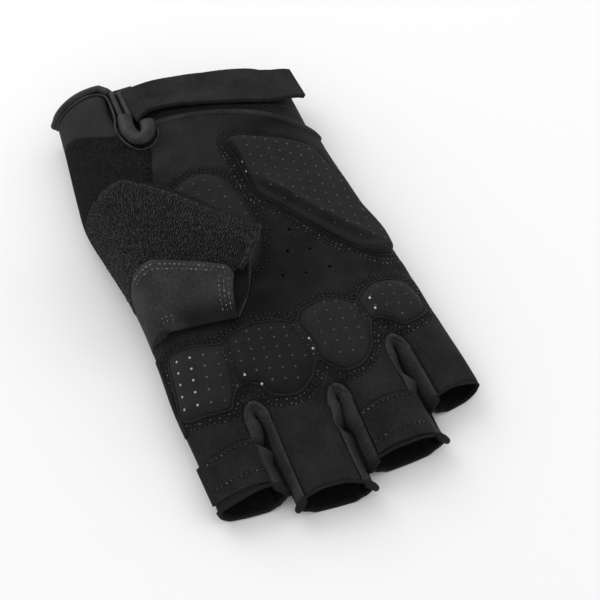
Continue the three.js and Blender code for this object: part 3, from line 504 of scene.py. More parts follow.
def thumb_cap(row, t, edge):
    """Side of the thumb stall at its front or back edge, from the upper sheet (0) to the lower (1)."""
    u = 1 if edge == "front" else 0
    outward = THUMB_FRONT_ROUND if edge == "front" else THUMB_BACK_ROUND
    level = thumb_upper(row, u).lerp(thumb_lower(row, u), t)
    chord = thumb_root(edge, 0).lerp(thumb_root(edge, 1), t)
    straight = level + (thumb_root(edge, t) - chord) * (1 - ease(row / THUMB_RISE))
    return straight + outward * (math.sin(math.pi * t) * ease((row - 2) / 2))


# Meshes
def patch(bm, rows, columns, at):
    """Net of square faces moved onto a surface at(v, u): v runs down the rows, u across them."""
    made = bmesh.ops.create_grid(bm, x_segments=columns, y_segments=rows, size=0.5)
    for vertex in made["verts"]:
        vertex.co = place(at(0.5 - vertex.co.y, vertex.co.x + 0.5))


def weld(bm, distance=0.012):
    """Joins the points where two nets meet, and takes out faces that have no area."""
    bmesh.ops.remove_doubles(bm, verts=bm.verts, dist=distance * MM)
    bmesh.ops.dissolve_degenerate(bm, edges=bm.edges, dist=0.001 * MM)


def close(bm, distance=0.012):
    """Welds a closed shape and turns its faces outwards."""
    weld(bm, distance)
    bmesh.ops.recalc_face_normals(bm, faces=bm.faces)


def hand_place(vertex):
    """A vertex's place in the hand's own millimetres."""
    return vertex.co.x / MM + MIDDLE[0], vertex.co.y / MM + MIDDLE[1], vertex.co.z / MM


def tree_of(points):
    """Search tree that numbers the points in their order."""
    tree = KDTree(len(points))
    for number, point in enumerate(points):
        tree.insert(point, number)
    tree.balance()
    return tree


def sink_rim(bm, width=GROOVE_WIDTH, depth=GROOVE_DEPTH, spare=()):
    """Turns the edge of a panel down, so that panels meet in a sewn groove, but not by spare points."""
    bm.normal_update()
    spared = tree_of([place(point) for point in spare])
    rim = [vertex.co for vertex in bm.verts if vertex.is_boundary
           and not (spare and spared.find(vertex.co)[2] < SPARED * MM)]
    tree = tree_of(rim)
    moves = []
    for vertex in bm.verts:
        distance = tree.find(vertex.co)[2] / MM
        if distance < width:
            moves.append((vertex, vertex.normal * (-depth * (1 - distance / width) ** 2 * MM)))
    for vertex, move in moves:
        vertex.co += move


def finish_piece(bm, name, slot, material, replaces=(), wall=0.0, round_edge=0.0, padded=None,
                 lining_and_shade=None):
    """Turns a bmesh into a named piece that rides on the glove."""
    mesh = bpy.data.meshes.new(name)
    bm.to_mesh(mesh)
    bm.free()
    mesh.shade_smooth()
    piece = add_object(name, mesh)
    mesh.materials.append(material)
    if wall:
        solidify = piece.modifiers.new("wall", "SOLIDIFY")
        solidify.thickness = wall * MM
        solidify.offset = -1
        solidify.use_even_offset = False
        if lining_and_shade:
            mesh.materials.append(lining_and_shade)
            solidify.material_offset = 1
            solidify.material_offset_rim = 1
    if round_edge:
        bevel = piece.modifiers.new("edge", "BEVEL")
        bevel.width = round_edge * MM
        bevel.segments = 2
        bevel.limit_method = "ANGLE"
        bevel.angle_limit = math.radians(50)
    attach(piece, "root")
    if replaces:
        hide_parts(*replaces)


# Finishes
class Value:
    """A socket of a shader that takes part in Python arithmetic."""

    def __init__(self, finish, socket):
        self.finish = finish
        self.socket = socket

    def maths(self, operation, first, second):
        return self.finish.node("ShaderNodeMath", {"operation": operation}, {0: first, 1: second})

    def __add__(self, other):
        return self.maths("ADD", self, other)

    def __radd__(self, other):
        return self.maths("ADD", other, self)

    def __sub__(self, other):
        return self.maths("SUBTRACT", self, other)

    def __rsub__(self, other):
        return self.maths("SUBTRACT", other, self)

    def __mul__(self, other):
        return self.maths("MULTIPLY", self, other)

    def __rmul__(self, other):
        return self.maths("MULTIPLY", other, self)

    def clamped(self):
        return self.finish.node("ShaderNodeClamp", {}, {"Value": self})


class Finish:
    """One material: its node tree, and a method that adds any node to it."""

    def __init__(self, name):
        self.material = bpy.data.materials.new(name)
        self.material.use_nodes = True
        self.tree = self.material.node_tree
        self.shader = self.tree.nodes["Principled BSDF"]

    def connect(self, socket, value):
        if isinstance(value, Value):
            self.tree.links.new(value.socket, socket)
        else:
            socket.default_value = value

    def node(self, kind, settings, inputs, output=0):
        made = self.tree.nodes.new(kind)
        for key, value in settings.items():
            setattr(made, key, value)
        for key, value in inputs.items():
            self.connect(made.inputs[key], value)
        return Value(self, made.outputs[output])

    def where(self):
        return self.node("ShaderNodeTexCoord", {}, {}, "Object")

    def grain(self, size, detail, stretch=(1, 1, 1)):
        """Soft noise whose blobs are about size millimetres across."""
        scaled = self.node("ShaderNodeMapping", {}, {
            "Vector": self.where(), "Scale": tuple(s / (size * MM) for s in stretch)})
        return self.node("ShaderNodeTexNoise", {}, {
            "Vector": scaled, "Scale": 1.0, "Detail": detail, "Roughness": 0.6}, "Fac")

    def ramp(self, value, low, high):
        """0 below low, 1 above high, smooth between."""
        return self.node("ShaderNodeMapRange", {"interpolation_type": "SMOOTHSTEP"}, {
            "Value": value, "From Min": low, "From Max": high})

    def blend(self, factor, first, second):
        return self.node("ShaderNodeMix", {"data_type": "RGBA"}, {
            0: factor, 6: first, 7: second}, 2)

    def attribute(self, name):
        return self.node("ShaderNodeAttribute", {"attribute_name": name}, {}, "Fac")

    def bump(self, height, distance, strength):
        return self.node("ShaderNodeBump", {}, {
            "Height": height, "Distance": distance * MM, "Strength": strength})

    def set(self, **inputs):
        for key, value in inputs.items():
            self.connect(self.shader.inputs[key.replace("_", " ")], value)


def grey(value):
    return (value, value, value, 1)


# Silicone's painted glint: slant of the line past which it is bright, where that ends in metres,
# its darkest and its brightest tone
PAINTED_GLINT_SLANT = 0.207
PAINTED_GLINT_END = (-0.029, -0.0252)
SILICONE_TONES = (0.018, 0.36)


def suede_finish(name, tone):
    """Napped cloth with random grain: darker where pressed down and under painted shade, lighter under
    painted light.
    """
    finish = Finish(name)
    nap = finish.grain(0.7, 3)
    shade = nap * 0.5 + finish.grain(11, 3) * 0.5
    cloth = finish.blend(finish.ramp(shade, 0.34, 0.66), grey(tone * 0.6), grey(tone * 1.4))
    # Painted light: lighter where the palm's lit spots are marked
    cloth = finish.blend(finish.attribute("painted_light"), cloth, grey(tone * 2))
    # Painted shade: darker on the pressed bands round the pads, in shaded spots and at the thumb
    # patch's foot
    cloth = finish.blend(finish.attribute("pressed_and_shade") * 0.8, cloth, grey(tone * 0.2))
    finish.set(Base_Color=cloth, Roughness=0.9, Normal=finish.bump(nap, 0.14, 0.8))
    finish.set(Sheen_Weight=0.02, Sheen_Roughness=0.4, Specular_IOR_Level=0.09)
    return finish.material


def knit_finish(name, tone, rough=0.8, contrast=0.3):
    finish = Finish(name)
    weave = finish.grain(0.5, 1, stretch=(1, 2.2, 1))
    shade = finish.ramp(weave * 0.7 + finish.grain(10, 2) * 0.3, 0.3, 0.7)
    cloth = finish.blend(shade, grey(tone * (1 - contrast)), grey(tone * (1 + contrast)))
    finish.set(Base_Color=cloth, Roughness=rough, Normal=finish.bump(weave, 0.14, 0.8),
               Specular_IOR_Level=0.14)
    return finish.material


def fibre_finish(name, low, high, size, detail, span, rough, gloss, relief=None):
    """Fibres whose tone runs from low to high with one grain, which may give their relief too."""
    finish = Finish(name)
    fibre = finish.grain(size, detail)
    cloth = finish.blend(finish.ramp(fibre, *span), grey(low), grey(high))
    finish.set(Base_Color=cloth, Roughness=rough, Specular_IOR_Level=gloss)
    if relief:
        finish.set(Normal=finish.bump(fibre, *relief))
    return finish.material


def loop_finish(name, tone):
    return fibre_finish(name, tone * 0.35, tone * 1.65, 1.1, 3, (0.36, 0.64), 0.85, 0.1)


def thread_finish(name, low, high, first, last):
    """Thread whose stitches differ at random: most are dull, and some carry a painted highlight."""
    return fibre_finish(name, low, high, 1.2, 2, (first, last), 0.45, 0.25)


def silicone_finish():
    """Clear grey silicone with a painted glint, brightest on the pad at the root of the index finger,
    and random wear.
    """
    finish = Finish("silicone")
    aside = finish.node("ShaderNodeSeparateXYZ", {}, {"Vector": finish.where()}, "X")
    along = finish.node("ShaderNodeSeparateXYZ", {}, {"Vector": finish.where()}, "Y")
    # Painted glint: bright towards the index finger's pad, fading past a slanted line
    near = finish.node("ShaderNodeMapRange", {}, {
        "Value": aside - along * PAINTED_GLINT_SLANT, "From Min": PAINTED_GLINT_END[0], "From Max": PAINTED_GLINT_END[1],
        "To Min": 1.0, "To Max": 0.0})
    wear = finish.grain(2.6, 2)
    glint_and_wear = (near * 0.85 + wear * 0.34 - 0.16).clamped()
    dark, light = SILICONE_TONES
    finish.set(Base_Color=finish.blend(glint_and_wear, grey(dark), grey(light)),
               Roughness=finish.ramp(wear, 0.3, 0.7) * 0.15 + 0.3, Specular_IOR_Level=0.35)
    return finish.material


def glossy_finish(name, tone, rough, gloss):
    finish = Finish(name)
    wear = finish.grain(1.4, 2)
    patches = finish.ramp(finish.grain(3.4, 2), 0.35, 0.65)
    finish.set(Base_Color=finish.blend(patches, grey(tone * 0.6), grey(tone * 1.4)),
               Roughness=finish.ramp(wear, 0.2, 0.8) * 0.16 + rough,
               Normal=finish.bump(wear, 0.05, 0.5), Specular_IOR_Level=gloss)
    return finish.material


SUEDE = suede_finish("suede", 0.0125)
# Lighter suede for the cuff seam's ridge: painted highlight
SEAM_SUEDE_PAINTED_HIGHLIGHT = suede_finish("seam_suede_painted_highlight", 0.02)
SUEDE_PATCH = suede_finish("suede_patch", 0.029)
STRAP_CLOTH = suede_finish("strap_cloth", 0.015)
KNIT = knit_finish("knit", 0.010)
FOURCHETTE_KNIT = knit_finish("fourchette_knit", 0.027, 0.8, 0.6)
CUFF_KNIT = knit_finish("cuff_knit", 0.0165)
# Darker cuff knit: painted shade under the strap and inside the thumb's mouth
CUFF_KNIT_PAINTED_SHADE = knit_finish("cuff_knit_painted_shade", 0.006)
TERRY = fibre_finish("terry", 0.0054, 0.0168, 0.8, 2, (0.35, 0.7), 0.95, 0.05, (0.5, 0.9))
TERRY_LOOP = loop_finish("terry_loop", 0.041)
TERRY_SOFT = loop_finish("terry_soft", 0.032)
PAD_CLOTH = knit_finish("pad_cloth", 0.0108, 0.74, 0.5)
PAD_CLOTH_DARK = knit_finish("dark_pad_cloth", 0.0068, 0.77, 0.5)
BINDING = glossy_finish("binding", 0.0125, 0.42, 0.22)
EDGE = glossy_finish("cut_edge", 0.008, 0.5, 0.2)
# Near-black knit: the glove's lining and the cloth under the slit, and painted shade in stitch dents,
# slots and along the tabs
LINING_AND_SHADE = knit_finish("lining_and_shade", 0.004, 0.95)
HEM_CLOTH = knit_finish("hem_cloth", 0.008, 0.8)
EDGE_LIGHT = glossy_finish("light_edge", 0.022, 0.5, 0.2)
THREAD = thread_finish("thread", 0.009, 0.105, 0.49, 0.63)
# Darker thread: painted shade for stitches in shade and under the strap
THREAD_PAINTED_SHADE = thread_finish("thread_painted_shade", 0.007, 0.03, 0.42, 0.62)
THREAD_LIGHT = thread_finish("light_thread", 0.03, 0.2, 0.38, 0.6)
SILICONE = silicone_finish()
# Bright silicone for the painted glints on a few dots
SILICONE_PAINTED_GLINT = glossy_finish("painted_glint_silicone", 0.36, 0.3, 0.35)


# Lines drawn on the palm
def curve_points(points, count, closed=True):
    """Evenly spaced points on a smooth curve through a few given ones."""
    n = len(points)
    fine = []
    segments = n if closed else n - 1
    for i in range(segments):
        a, b, c, d = (Vector(points[(i + k) % n] if closed else points[clamp(i + k, 0, n - 1)])
                      for k in (-1, 0, 1, 2))
        for step in range(12):
            t = step / 12
            fine.append(0.5 * (2 * b + (c - a) * t + (2 * a - 5 * b + 4 * c - d) * t * t
                               + (3 * b - 3 * c + d - a) * t ** 3))
    fine.append(Vector(points[0] if closed else points[-1]))
    lengths = [0.0]
    for before, after in zip(fine, fine[1:]):
        lengths.append(lengths[-1] + (after - before).length)
    spaced = []
    for number in range(count + (0 if closed else 1)):
        target = lengths[-1] * number / count
        i = min(bisect_right(lengths, target) - 1, len(fine) - 2)
        share = (target - lengths[i]) / max(lengths[i + 1] - lengths[i], 1e-9)
        spaced.append(fine[i].lerp(fine[i + 1], share))
    return spaced


def beside(points, out, closed=False):
    """A flat line moved sideways, to the right of its way."""
    moved = []
    count = len(points)
    for number, point in enumerate(points):
        ahead = points[(number + 1) % count] if closed or number + 1 < count else point
        behind = points[number - 1] if closed or number else point
        along = (ahead - behind).normalized()
        moved.append(point + Vector((along.y, -along.x)) * out)
    return moved


class Outline:
    """Closed curve on the palm that knows how far inside it a place lies."""

    def __init__(self, points, count=320):
        self.points = curve_points(points, count)
        turned = self.points[1:] + self.points[:1]
        if sum(a.x * b.y - b.x * a.y for a, b in zip(self.points, turned)) < 0:
            self.points.reverse()
        self.outward = [b - a for a, b in zip(self.points, beside(self.points, 1, True))]
        self.tree = tree_of([(point.x, point.y, 0) for point in self.points])

    def depth(self, x, y):
        """Distance inside the curve, less than 0 outside it, and the way out."""
        spot, number, distance = self.tree.find((x, y, 0))
        outward = self.outward[number]
        side = (Vector((x, y)) - spot.xy).dot(outward)
        return (distance if side < 0 else -distance), outward


# Outline of the cloth that the four knuckle pads share, and the lines that part them
WINDOW = Outline([
    (-52.7, -15.2), (-49.4, -14.6), (-44.1, -15.8), (-37.6, -18.9), (-34.8, -18.8), (-31.1, -17),
    (-24, -16.6), (-15.4, -18.6), (-10.5, -21.6), (-6.6, -17.6), (-2, -16.4), (2.5, -16.1),
    (8.6, -19.2), (11.6, -20.9), (16, -17.2), (21.1, -14.5), (28.6, -14.9), (32.9, -18.3),
    (34.7, -26.8), (31.7, -30.9), (24.4, -33.2), (20.7, -30.2), (17.1, -28.3), (13.1, -30),
    (9.9, -37.9), (4.9, -42.6), (-1.1, -43), (-5.2, -39.4), (-8.7, -36.9), (-12.6, -41.6),
    (-17.7, -45), (-22.5, -44.8), (-26.9, -42.2), (-29.5, -38.2), (-33, -35.6), (-36.8, -36.4),
    (-39.3, -39.3), (-41.3, -42), (-48.5, -40.7), (-55.8, -37.6), (-55.2, -28), (-54, -20)], 420)
CHANNELS = [
    [(-35, -20.4), (-35.4, -26), (-36.2, -32), (-37.2, -35.6)],
    [(-10.5, -21.6), (-10.9, -24.4), (-9.8, -27), (-9.0, -30.2), (-8.7, -33.7), (-8.6, -36.8)],
    [(11.4, -21.2), (12, -25), (12.6, -29.2)],
]

# Pads: how round and how steep their flanks are, and how tightly they are filled
PAD_SHOULDER = 2.2
PAD_STEEP = 1.2
PAD_FILL = 0.85

# Heel pad: way that its long slope faces, y where the slope ends at both ends, its lip and its ridge
PAD_SLOPE_WAY = Vector((-0.75, -0.66))
PAD_SLOPE_TURN = (0.6, 0.3)
PAD_SLOPE_ENDS = ((40, 7), (-2, 6))
PAD_LIP_REACH = (1.7, 4.5)
PAD_LIP_FLANK = 1.3
PAD_LIP_SHARE = 0.24
PAD_RIDGE = (0.6, 1.2)


def shoulder(share):
    """Height of a rounded flank, from 0 at its foot to 1 at its top."""
    return 1 - (1 - clamp(share)) ** PAD_SHOULDER


class Pad:
    """Cushion on the palm: height, width of its flank, whether it has a long slope, lattice of dots."""

    def __init__(self, height, flank, sloped, across_step, down_step, first_dot, outline):
        self.height = height
        self.flank = flank
        self.sloped = sloped
        self.steps = (Vector(across_step), Vector(down_step))
        self.first_dot = Vector(first_dot)
        self.outline = Outline(outline)

    def rise(self, x, y):
        depth, outward = self.outline.depth(x, y)
        if depth <= 0:
            return 0.0
        foot = CLEARANCE * clamp(depth / 0.6)
        if not self.sloped:
            return foot + self.height * shoulder(depth / self.flank)
        share = shoulder(depth / (self.flank - PAD_STEEP * clamp(-outward.x)))
        least, turn = PAD_SLOPE_TURN
        (wrist_end, wrist_fade), (finger_end, finger_fade) = PAD_SLOPE_ENDS
        leaning = ease((outward.dot(PAD_SLOPE_WAY) - least) / turn)
        leaning *= ease((wrist_end - y) / wrist_fade) * ease((y - finger_end) / finger_fade)
        lip_end, slope_end = PAD_LIP_REACH
        lip = PAD_LIP_SHARE * shoulder(depth / PAD_LIP_FLANK)
        slope = ease((depth - lip_end) / (slope_end - lip_end))
        share = mix(share, lip + (1 - PAD_LIP_SHARE) * slope, leaning)
        crest, crest_width = PAD_RIDGE
        ridge = crest * leaning * math.exp(-((depth - slope_end) / crest_width) ** 2)
        return foot + ridge + self.height * share


PADS = {
    "knuckle_pad_index": Pad(1.7, 5.4, False, (4.05, -1.35), (-0.85, -4.1), (-46.4, -20.3), [
        (-52.6, -15.3), (-49, -14.9), (-44.1, -16), (-38.5, -18.8), (-35.9, -20.6), (-36.1, -26),
        (-36.9, -32), (-38.2, -36.4), (-39.8, -39.6), (-42, -41.6), (-48.5, -40.3), (-55.3, -37.2),
        (-54.6, -28), (-53.6, -20)]),
    "knuckle_pad_middle": Pad(1.7, 5.4, False, (3.95, -1.15), (-0.5, -3.65), (-26.8, -19.6), [
        (-34.3, -20.2), (-31.1, -17.6), (-24, -17.1), (-16.8, -18.8), (-12.0, -21.8), (-12.0, -25),
        (-11.0, -28.5), (-10.3, -33), (-10.3, -37), (-13.4, -41.4), (-17.7, -44.4), (-22.5, -44.3),
        (-26.7, -41.9), (-29.2, -37.9), (-33, -35.3), (-35.4, -34.4), (-35, -27)]),
    "knuckle_pad_ring": Pad(1.9, 5.4, False, (4.0, -0.75), (-0.45, -3.85), (-3.0, -17.9), [
        (-9.2, -22.4), (-6.3, -18.3), (-2, -17), (2.5, -16.6), (8.2, -19.2), (10.8, -22.2),
        (11.2, -26), (11.2, -31), (9.5, -37.5), (4.8, -42), (-1.1, -42.5), (-4.8, -39.4),
        (-7.2, -36.6), (-7.5, -33), (-7.9, -29), (-8.8, -26)]),
    "knuckle_pad_little": Pad(1.7, 4.8, False, (3.9, -0.7), (-0.1, -3.9), (20.6, -18.0), [
        (12.6, -21.6), (16, -17.8), (21.1, -15.1), (28.6, -15.4), (32.5, -18.6), (34.1, -26.4),
        (31.3, -30.3), (24.4, -32.6), (20.7, -30), (17.1, -28.2), (13.6, -28.6), (13, -25)]),
    "ulnar_pad": Pad(3.5, 2.4, True, (3.3, -1.7), (-0.3, -4.0), (-3.6, 51.8), [
        (-5.4, 55.5), (-2.6, 56.9), (3.5, 55.2), (14.1, 51.1), (19.6, 48.6), (22.8, 46.2),
        (24.4, 41.3), (26.5, 35.2), (28.7, 28.2), (30.4, 19.5), (33.4, 8.8), (33.9, 1.5), (32.8, -2.7),
        (26.7, -2.6), (20.9, 3.1), (14.7, 10.6), (8.2, 18.5), (2, 26.6), (-2.8, 32.9),
        (-3.9, 39.7), (-4.2, 47.8)]),
    "thenar_pad": Pad(2.2, 3.6, False, (4.3, 0.2), (0, -4.5), (-14.5, 42.5), [
        (-33.6, 38.6), (-29.4, 43.6), (-21, 46.4), (-13.4, 43.2), (-9.4, 35), (-7.8, 25),
        (-8.2, 16.4), (-12, 8), (-18.6, 2.6), (-26, 3), (-32.6, 10), (-35, 20), (-35.2, 30)]),
}
HEEL_OUTLINES = [PADS["ulnar_pad"].outline, PADS["thenar_pad"].outline]

# Folds of the palm that the cloth alone shows, in the way of RELIEF
FOLDS = [(24, -9.5, 13, 2.4, -8, -1.2), (20, -3.6, 12, 2.2, -14, 0.9), (2, 0, 20, 13, 25, -1.3),
         (-6, 62, 22, 5, 0, 0.6)]
PRESSED_BAND = (0.3, 2.8, 4.3)
PRESSED_DEPTH = 0.4
CLOTH_UNEVEN = (0.16, 0.09)


@lru_cache(maxsize=400000)
def cloth_shift(x, y):
    """Height that folds and sewn-down bands add to the palm, and how far it is pressed, also painted as
    shade.
    """
    out = -max(outline.depth(x, y)[0] for outline in [WINDOW] + HEEL_OUTLINES)
    start, flat, end = PRESSED_BAND
    pressed_and_shade = ease(out / start) * (1 - ease((out - flat) / (end - flat)))
    size, pitch = CLOTH_UNEVEN
    shift = size * noise.noise(Vector((x * pitch, y * pitch, 0.5))) - PRESSED_DEPTH * pressed_and_shade
    return shift + swells(FOLDS, x, y), pressed_and_shade


def cloth_point(x, y, lift=0.0):
    return palm_point(x, y, cloth_shift(x, y)[0] + lift)


def top_point(x, y, height=0.0):
    """Point at a height over whatever is the top of the palm there, cloth or pad."""
    risen = max(pad.rise(x, y) for pad in PADS.values())
    return above(x, y, risen + height) if risen > 0 else cloth_point(x, y, height)


# Small repeated shapes
def frame_at(point, along, up, size):
    """Place and axes of one copy: size gives its length, width and height."""
    along = along.normalized()
    aside = up.cross(along).normalized()
    lift = along.cross(aside)
    return [point, along * size[0], aside * size[1], lift * size[2]]


def copies(name, shape, frames, slot, material):
    """One piece made of many copies of a small shape of unit size."""
    bmesh.ops.triangulate(shape, faces=shape.faces)
    corners = np.array([vertex.co for vertex in shape.verts])
    faces = np.array([[vertex.index for vertex in face.verts] for face in shape.faces])
    shape.free()
    frames = np.array(frames)
    points = frames[:, None, 0] + corners @ frames[:, 1:]
    points = (points - np.array((*MIDDLE, 0))) * MM
    joined = faces[None] + np.arange(len(frames))[:, None, None] * len(corners)
    mesh = bpy.data.meshes.new(name)
    mesh.from_pydata(points.reshape(-1, 3).tolist(), [], joined.reshape(-1, 3).tolist())
    bm = bmesh.new()
    bm.from_mesh(mesh)
    bpy.data.meshes.remove(mesh)
    finish_piece(bm, name, slot, material)


def bead_shape(around=6, rings=4):
    shape = bmesh.new()
    bmesh.ops.create_uvsphere(shape, u_segments=around, v_segments=rings, radius=0.5)
    return shape


# Stitches, and the near-black painted shade of the dents between them: length, width, height
STITCH = (1.05, 0.46, 0.42)
STITCH_GROWN = (0.6, 1.15)
STITCH_PITCH = 1.6
STITCH_TURN = 0.55
STITCH_SHIFT = 0.26
STITCH_MARGIN = 0.9
STITCH_LIFT = 0.04
ROW_SLACK = 0.25
# Stitches whose way points further left than this take the darker thread: painted shade
DIM_WAY = -0.35
DENT_SHADE = (0.8, 0.5, 0.3)
OUTLINE_PACES = 8
UNEVEN = random.Random(21)
DENT_SHADES = []
DIM_STITCHES = []

# Painted shade on the stitches beside the thumb: x and y of the middle, half width and half length of
# the place
DIM_PLACE = (-11, 10, 9, 17)


def walk(points, pitch, closed=False):
    """Places at an even pitch along a line, each with the way of the line."""
    route = points + points[:1] if closed else points
    travelled = 0.0
    due = pitch / 2
    for start, end in zip(route, route[1:]):
        length = (end - start).length
        while length and due <= travelled + length:
            yield start.lerp(end, (due - travelled) / length), (end - start).normalized()
            due += pitch
        travelled += length


def turned(way, angle):
    c = math.cos(angle)
    s = math.sin(angle)
    return Vector((way.x * c - way.y * s, way.x * s + way.y * c))


def shaken(spot, way):
    """A stitch's place and way, a little out of line."""
    way = turned(way, UNEVEN.uniform(-STITCH_TURN, STITCH_TURN))
    shift = [UNEVEN.uniform(-STITCH_SHIFT, STITCH_SHIFT) for _ in range(2)]
    return spot + Vector(shift), way


def lying_frame(spot, way, at, size):
    """A stitch along a way over the palm, with its ends on the surface at(x, y)."""
    start = at(spot.x - way.x * 0.5, spot.y - way.y * 0.5)
    end = at(spot.x + way.x * 0.5, spot.y + way.y * 0.5)
    up = above(spot.x, spot.y, 1) - palm_point(spot.x, spot.y)
    return frame_at((start + end) / 2, end - start, up, size)


def palm_frame(spot, way, height, size=STITCH):
    return lying_frame(spot, way, lambda x, y: top_point(x, y, height), size)


def paced(outline, out):
    """The outline moved outwards by a distance measured over the curved palm."""
    moved = []
    pace = out / OUTLINE_PACES
    probe = 0.2
    for point, outward in zip(outline.points, outline.outward):
        spot = point.copy()
        for _ in range(OUTLINE_PACES):
            ahead = spot + outward * probe
            slope = (palm_height(ahead.x, ahead.y) - palm_height(spot.x, spot.y)) / probe
            spot = spot + outward * (pace / math.sqrt(1 + slope * slope))
        left, right = hand(spot.y)[:2]
        spot.x = clamp(spot.x, left + ROW_SLACK, right - ROW_SLACK)
        moved.append(spot)
    return moved


def outline_row(outline, out, where=lambda spot: True):
    """Stitches beside an outline, left out where two stretches of it meet."""
    frames = []
    tree = tree_of([palm_point(*point) for point in outline.points])
    for spot, way in walk(paced(outline, out), STITCH_PITCH, True):
        left, right = hand(spot.y)[:2]
        inside = left + STITCH_MARGIN < spot.x < right - STITCH_MARGIN
        if not (inside and tree.find(palm_point(*spot))[2] > out - ROW_SLACK and where(spot)):
            continue
        length, width, height = STITCH
        size = (UNEVEN.uniform(*STITCH_GROWN) * length, width, height)
        x, y, half_width, half_length = DIM_PLACE
        shaded = math.hypot((spot.x - x) / half_width, (spot.y - y) / half_length) < 1
        # Stitches turned away from the light or in the thumb's shade take the darker thread: painted
        # shade
        row = DIM_STITCHES if way.x < DIM_WAY or shaded else frames
        row.append(palm_frame(*shaken(spot, way), STITCH_LIFT, size))
        # A near-black mark between stitches: painted shade in the dent
        DENT_SHADES.append(palm_frame(*shaken(spot + way * STITCH_PITCH / 2, way), 0.0, DENT_SHADE))
    return frames


# Panels of the hand
PALM_STEP = 0.8
BACK_STEP = 2.0
STALL_ROWS = 46
BACK_ROWS = 70
BACK_STALL_ROWS = 26
WALL_ROWS, WALL_COLUMNS = 60, 20
CROTCH_ROWS = 0.3
CROTCH_CLOSE = 1.6
WALL_CLOTH = 1.0
WALL_GROOVE = (1.2, 0.45)


def even(low, high):
    return lambda t: mix(low, high, t)


def dense_start(low, high):
    return lambda t: mix(low, high, 1 - math.cos(t * math.pi / 2))


def dense_end(low, high):
    return lambda t: mix(low, high, math.sin(t * math.pi / 2))


# Lengths of the zones of the palm, for the number of their rows
KEYHOLE_LENGTH = 7
THUMB_LENGTH = 72
KNUCKLE_LENGTH = 35

# Columns of the hand: finger, place on its width, width in millimetres
THUMB_COLUMNS = [(0, dense_start(0, SLIT_SHARES[0]), 10)]
SLIT_COLUMNS = [(0, even(*SLIT_SHARES), 7)]
INNER_COLUMNS = [(0, even(SLIT_SHARES[1], 1), 9), (1, even(0, 1), 28), (2, even(0, 1), 25),
                 (3, even(0, 0.6), 12), (3, dense_end(0.6, 1), 11)]
BACK_COLUMNS = [(0, dense_start(0, 0.5), 12), (0, even(0.5, 1), 12), (1, even(0, 1), 28),
                (2, even(0, 1), 25), (3, even(0, 0.6), 12), (3, dense_end(0.6, 1), 11)]
VENTS = [(2.3, 15.4), (6.4, 6.7), (-1.3, 7.8), (9.7, -3), (1.3, -2.2), (-6.6, -1)]
VENT_RADIUS = 0.62
VENT_CUT = 0.7
VENT_RIM = 2
CUFF_DRAWN = 2.3
CUFF_DRAWN_FROM = (4, 14, 15)


def crotch_shares(t):
    """Share of a finger's run: close steps round the crotch, then even ones."""
    start = CROTCH_ROUND / GAP_RUN
    if t < CROTCH_ROWS:
        return start * (t / CROTCH_ROWS) ** CROTCH_CLOSE
    return mix(start, 1, (t - CROTCH_ROWS) / (1 - CROTCH_ROWS))


def net_size(length, step):
    return max(2, round(length / step))


def zone(bm, first, last, length, columns):
    """Nets of the palm between two rows, one for each of its columns."""
    for finger, spread, width in columns:
        patch(bm, net_size(length, PALM_STEP), net_size(width, PALM_STEP), lambda v, u: zone_point(
            mix(first, last, v), finger, spread(u)))


def draw_in_cuff(bm):
    """The cuff is narrower than the palm on the little finger side."""
    for vertex in bm.verts:
        x, y, _ = hand_place(vertex)
        seam_fade, start, fade = CUFF_DRAWN_FROM
        past = ease((y - across(CUFF_SEAM, x)) / seam_fade) * ease((x - start) / fade)
        vertex.co.x -= CUFF_DRAWN * past * MM


# Spots of painted light and painted shade on the palm's suede, in the way of RELIEF,
# with a share for the height
PAINTED_LIGHT_SPOTS = [(-18, 59, 13, 12, 0, 0.36), (-20, -62, 16, 18, 0, 0.1), (8, -60, 14, 16, 0, 0.1),
             (30, -50, 9, 14, 0, 0.14), (-48, -60, 10, 12, 0, 0.12)]
PAINTED_SHADE_SPOTS = [(13, 61.5, 18, 5, 0, 0.9), (-4, 2, 28, 20, 0, 0.5), (-6, 30, 4, 14, 0, 0.6),
            (-24, -12, 20, 6, 0, 0.6)]
# Share of painted shade on the sewn-down bands round the pads
BAND_SHADE = 0.6


def press(bm):
    """Lays the folds and the sewn-down bands into the palm, and marks its painted light and shade."""
    pressed_and_shade_layer = bm.verts.layers.float.new("pressed_and_shade")
    painted_light_layer = bm.verts.layers.float.new("painted_light")
    for vertex in bm.verts:
        x, y, _ = hand_place(vertex)
        shift, pressed_and_shade = cloth_shift(x, y)
        vertex.co.z += shift * MM
        # Painted shade on the pressed bands and the shaded spots, painted light on the lit spots
        vertex[pressed_and_shade_layer] = max(BAND_SHADE * pressed_and_shade, swells(PAINTED_SHADE_SPOTS, x, y))
        vertex[painted_light_layer] = swells(PAINTED_LIGHT_SPOTS, x, y)


def cut_vents(bm):
    for x, y in VENTS:
        centre = place(cloth_point(x, y))
        inside = [face for face in bm.faces
                  if (face.calc_center_median() - centre).length < VENT_CUT * MM]
        bmesh.ops.delete(bm, geom=inside, context="FACES")
        for vertex in bm.verts:
            away = vertex.co - centre
            if vertex.is_boundary and away.length < VENT_RIM * MM:
                vertex.co = centre + away.normalized() * VENT_RADIUS * MM


def thumb_hole():
    """Points round the thumb hole, where no seam groove is wanted."""
    return [thumb_root(edge, n / 60) for edge in ("left", "right", "front", "back") for n in range(61)]


THUMB_HOLE = thumb_hole()


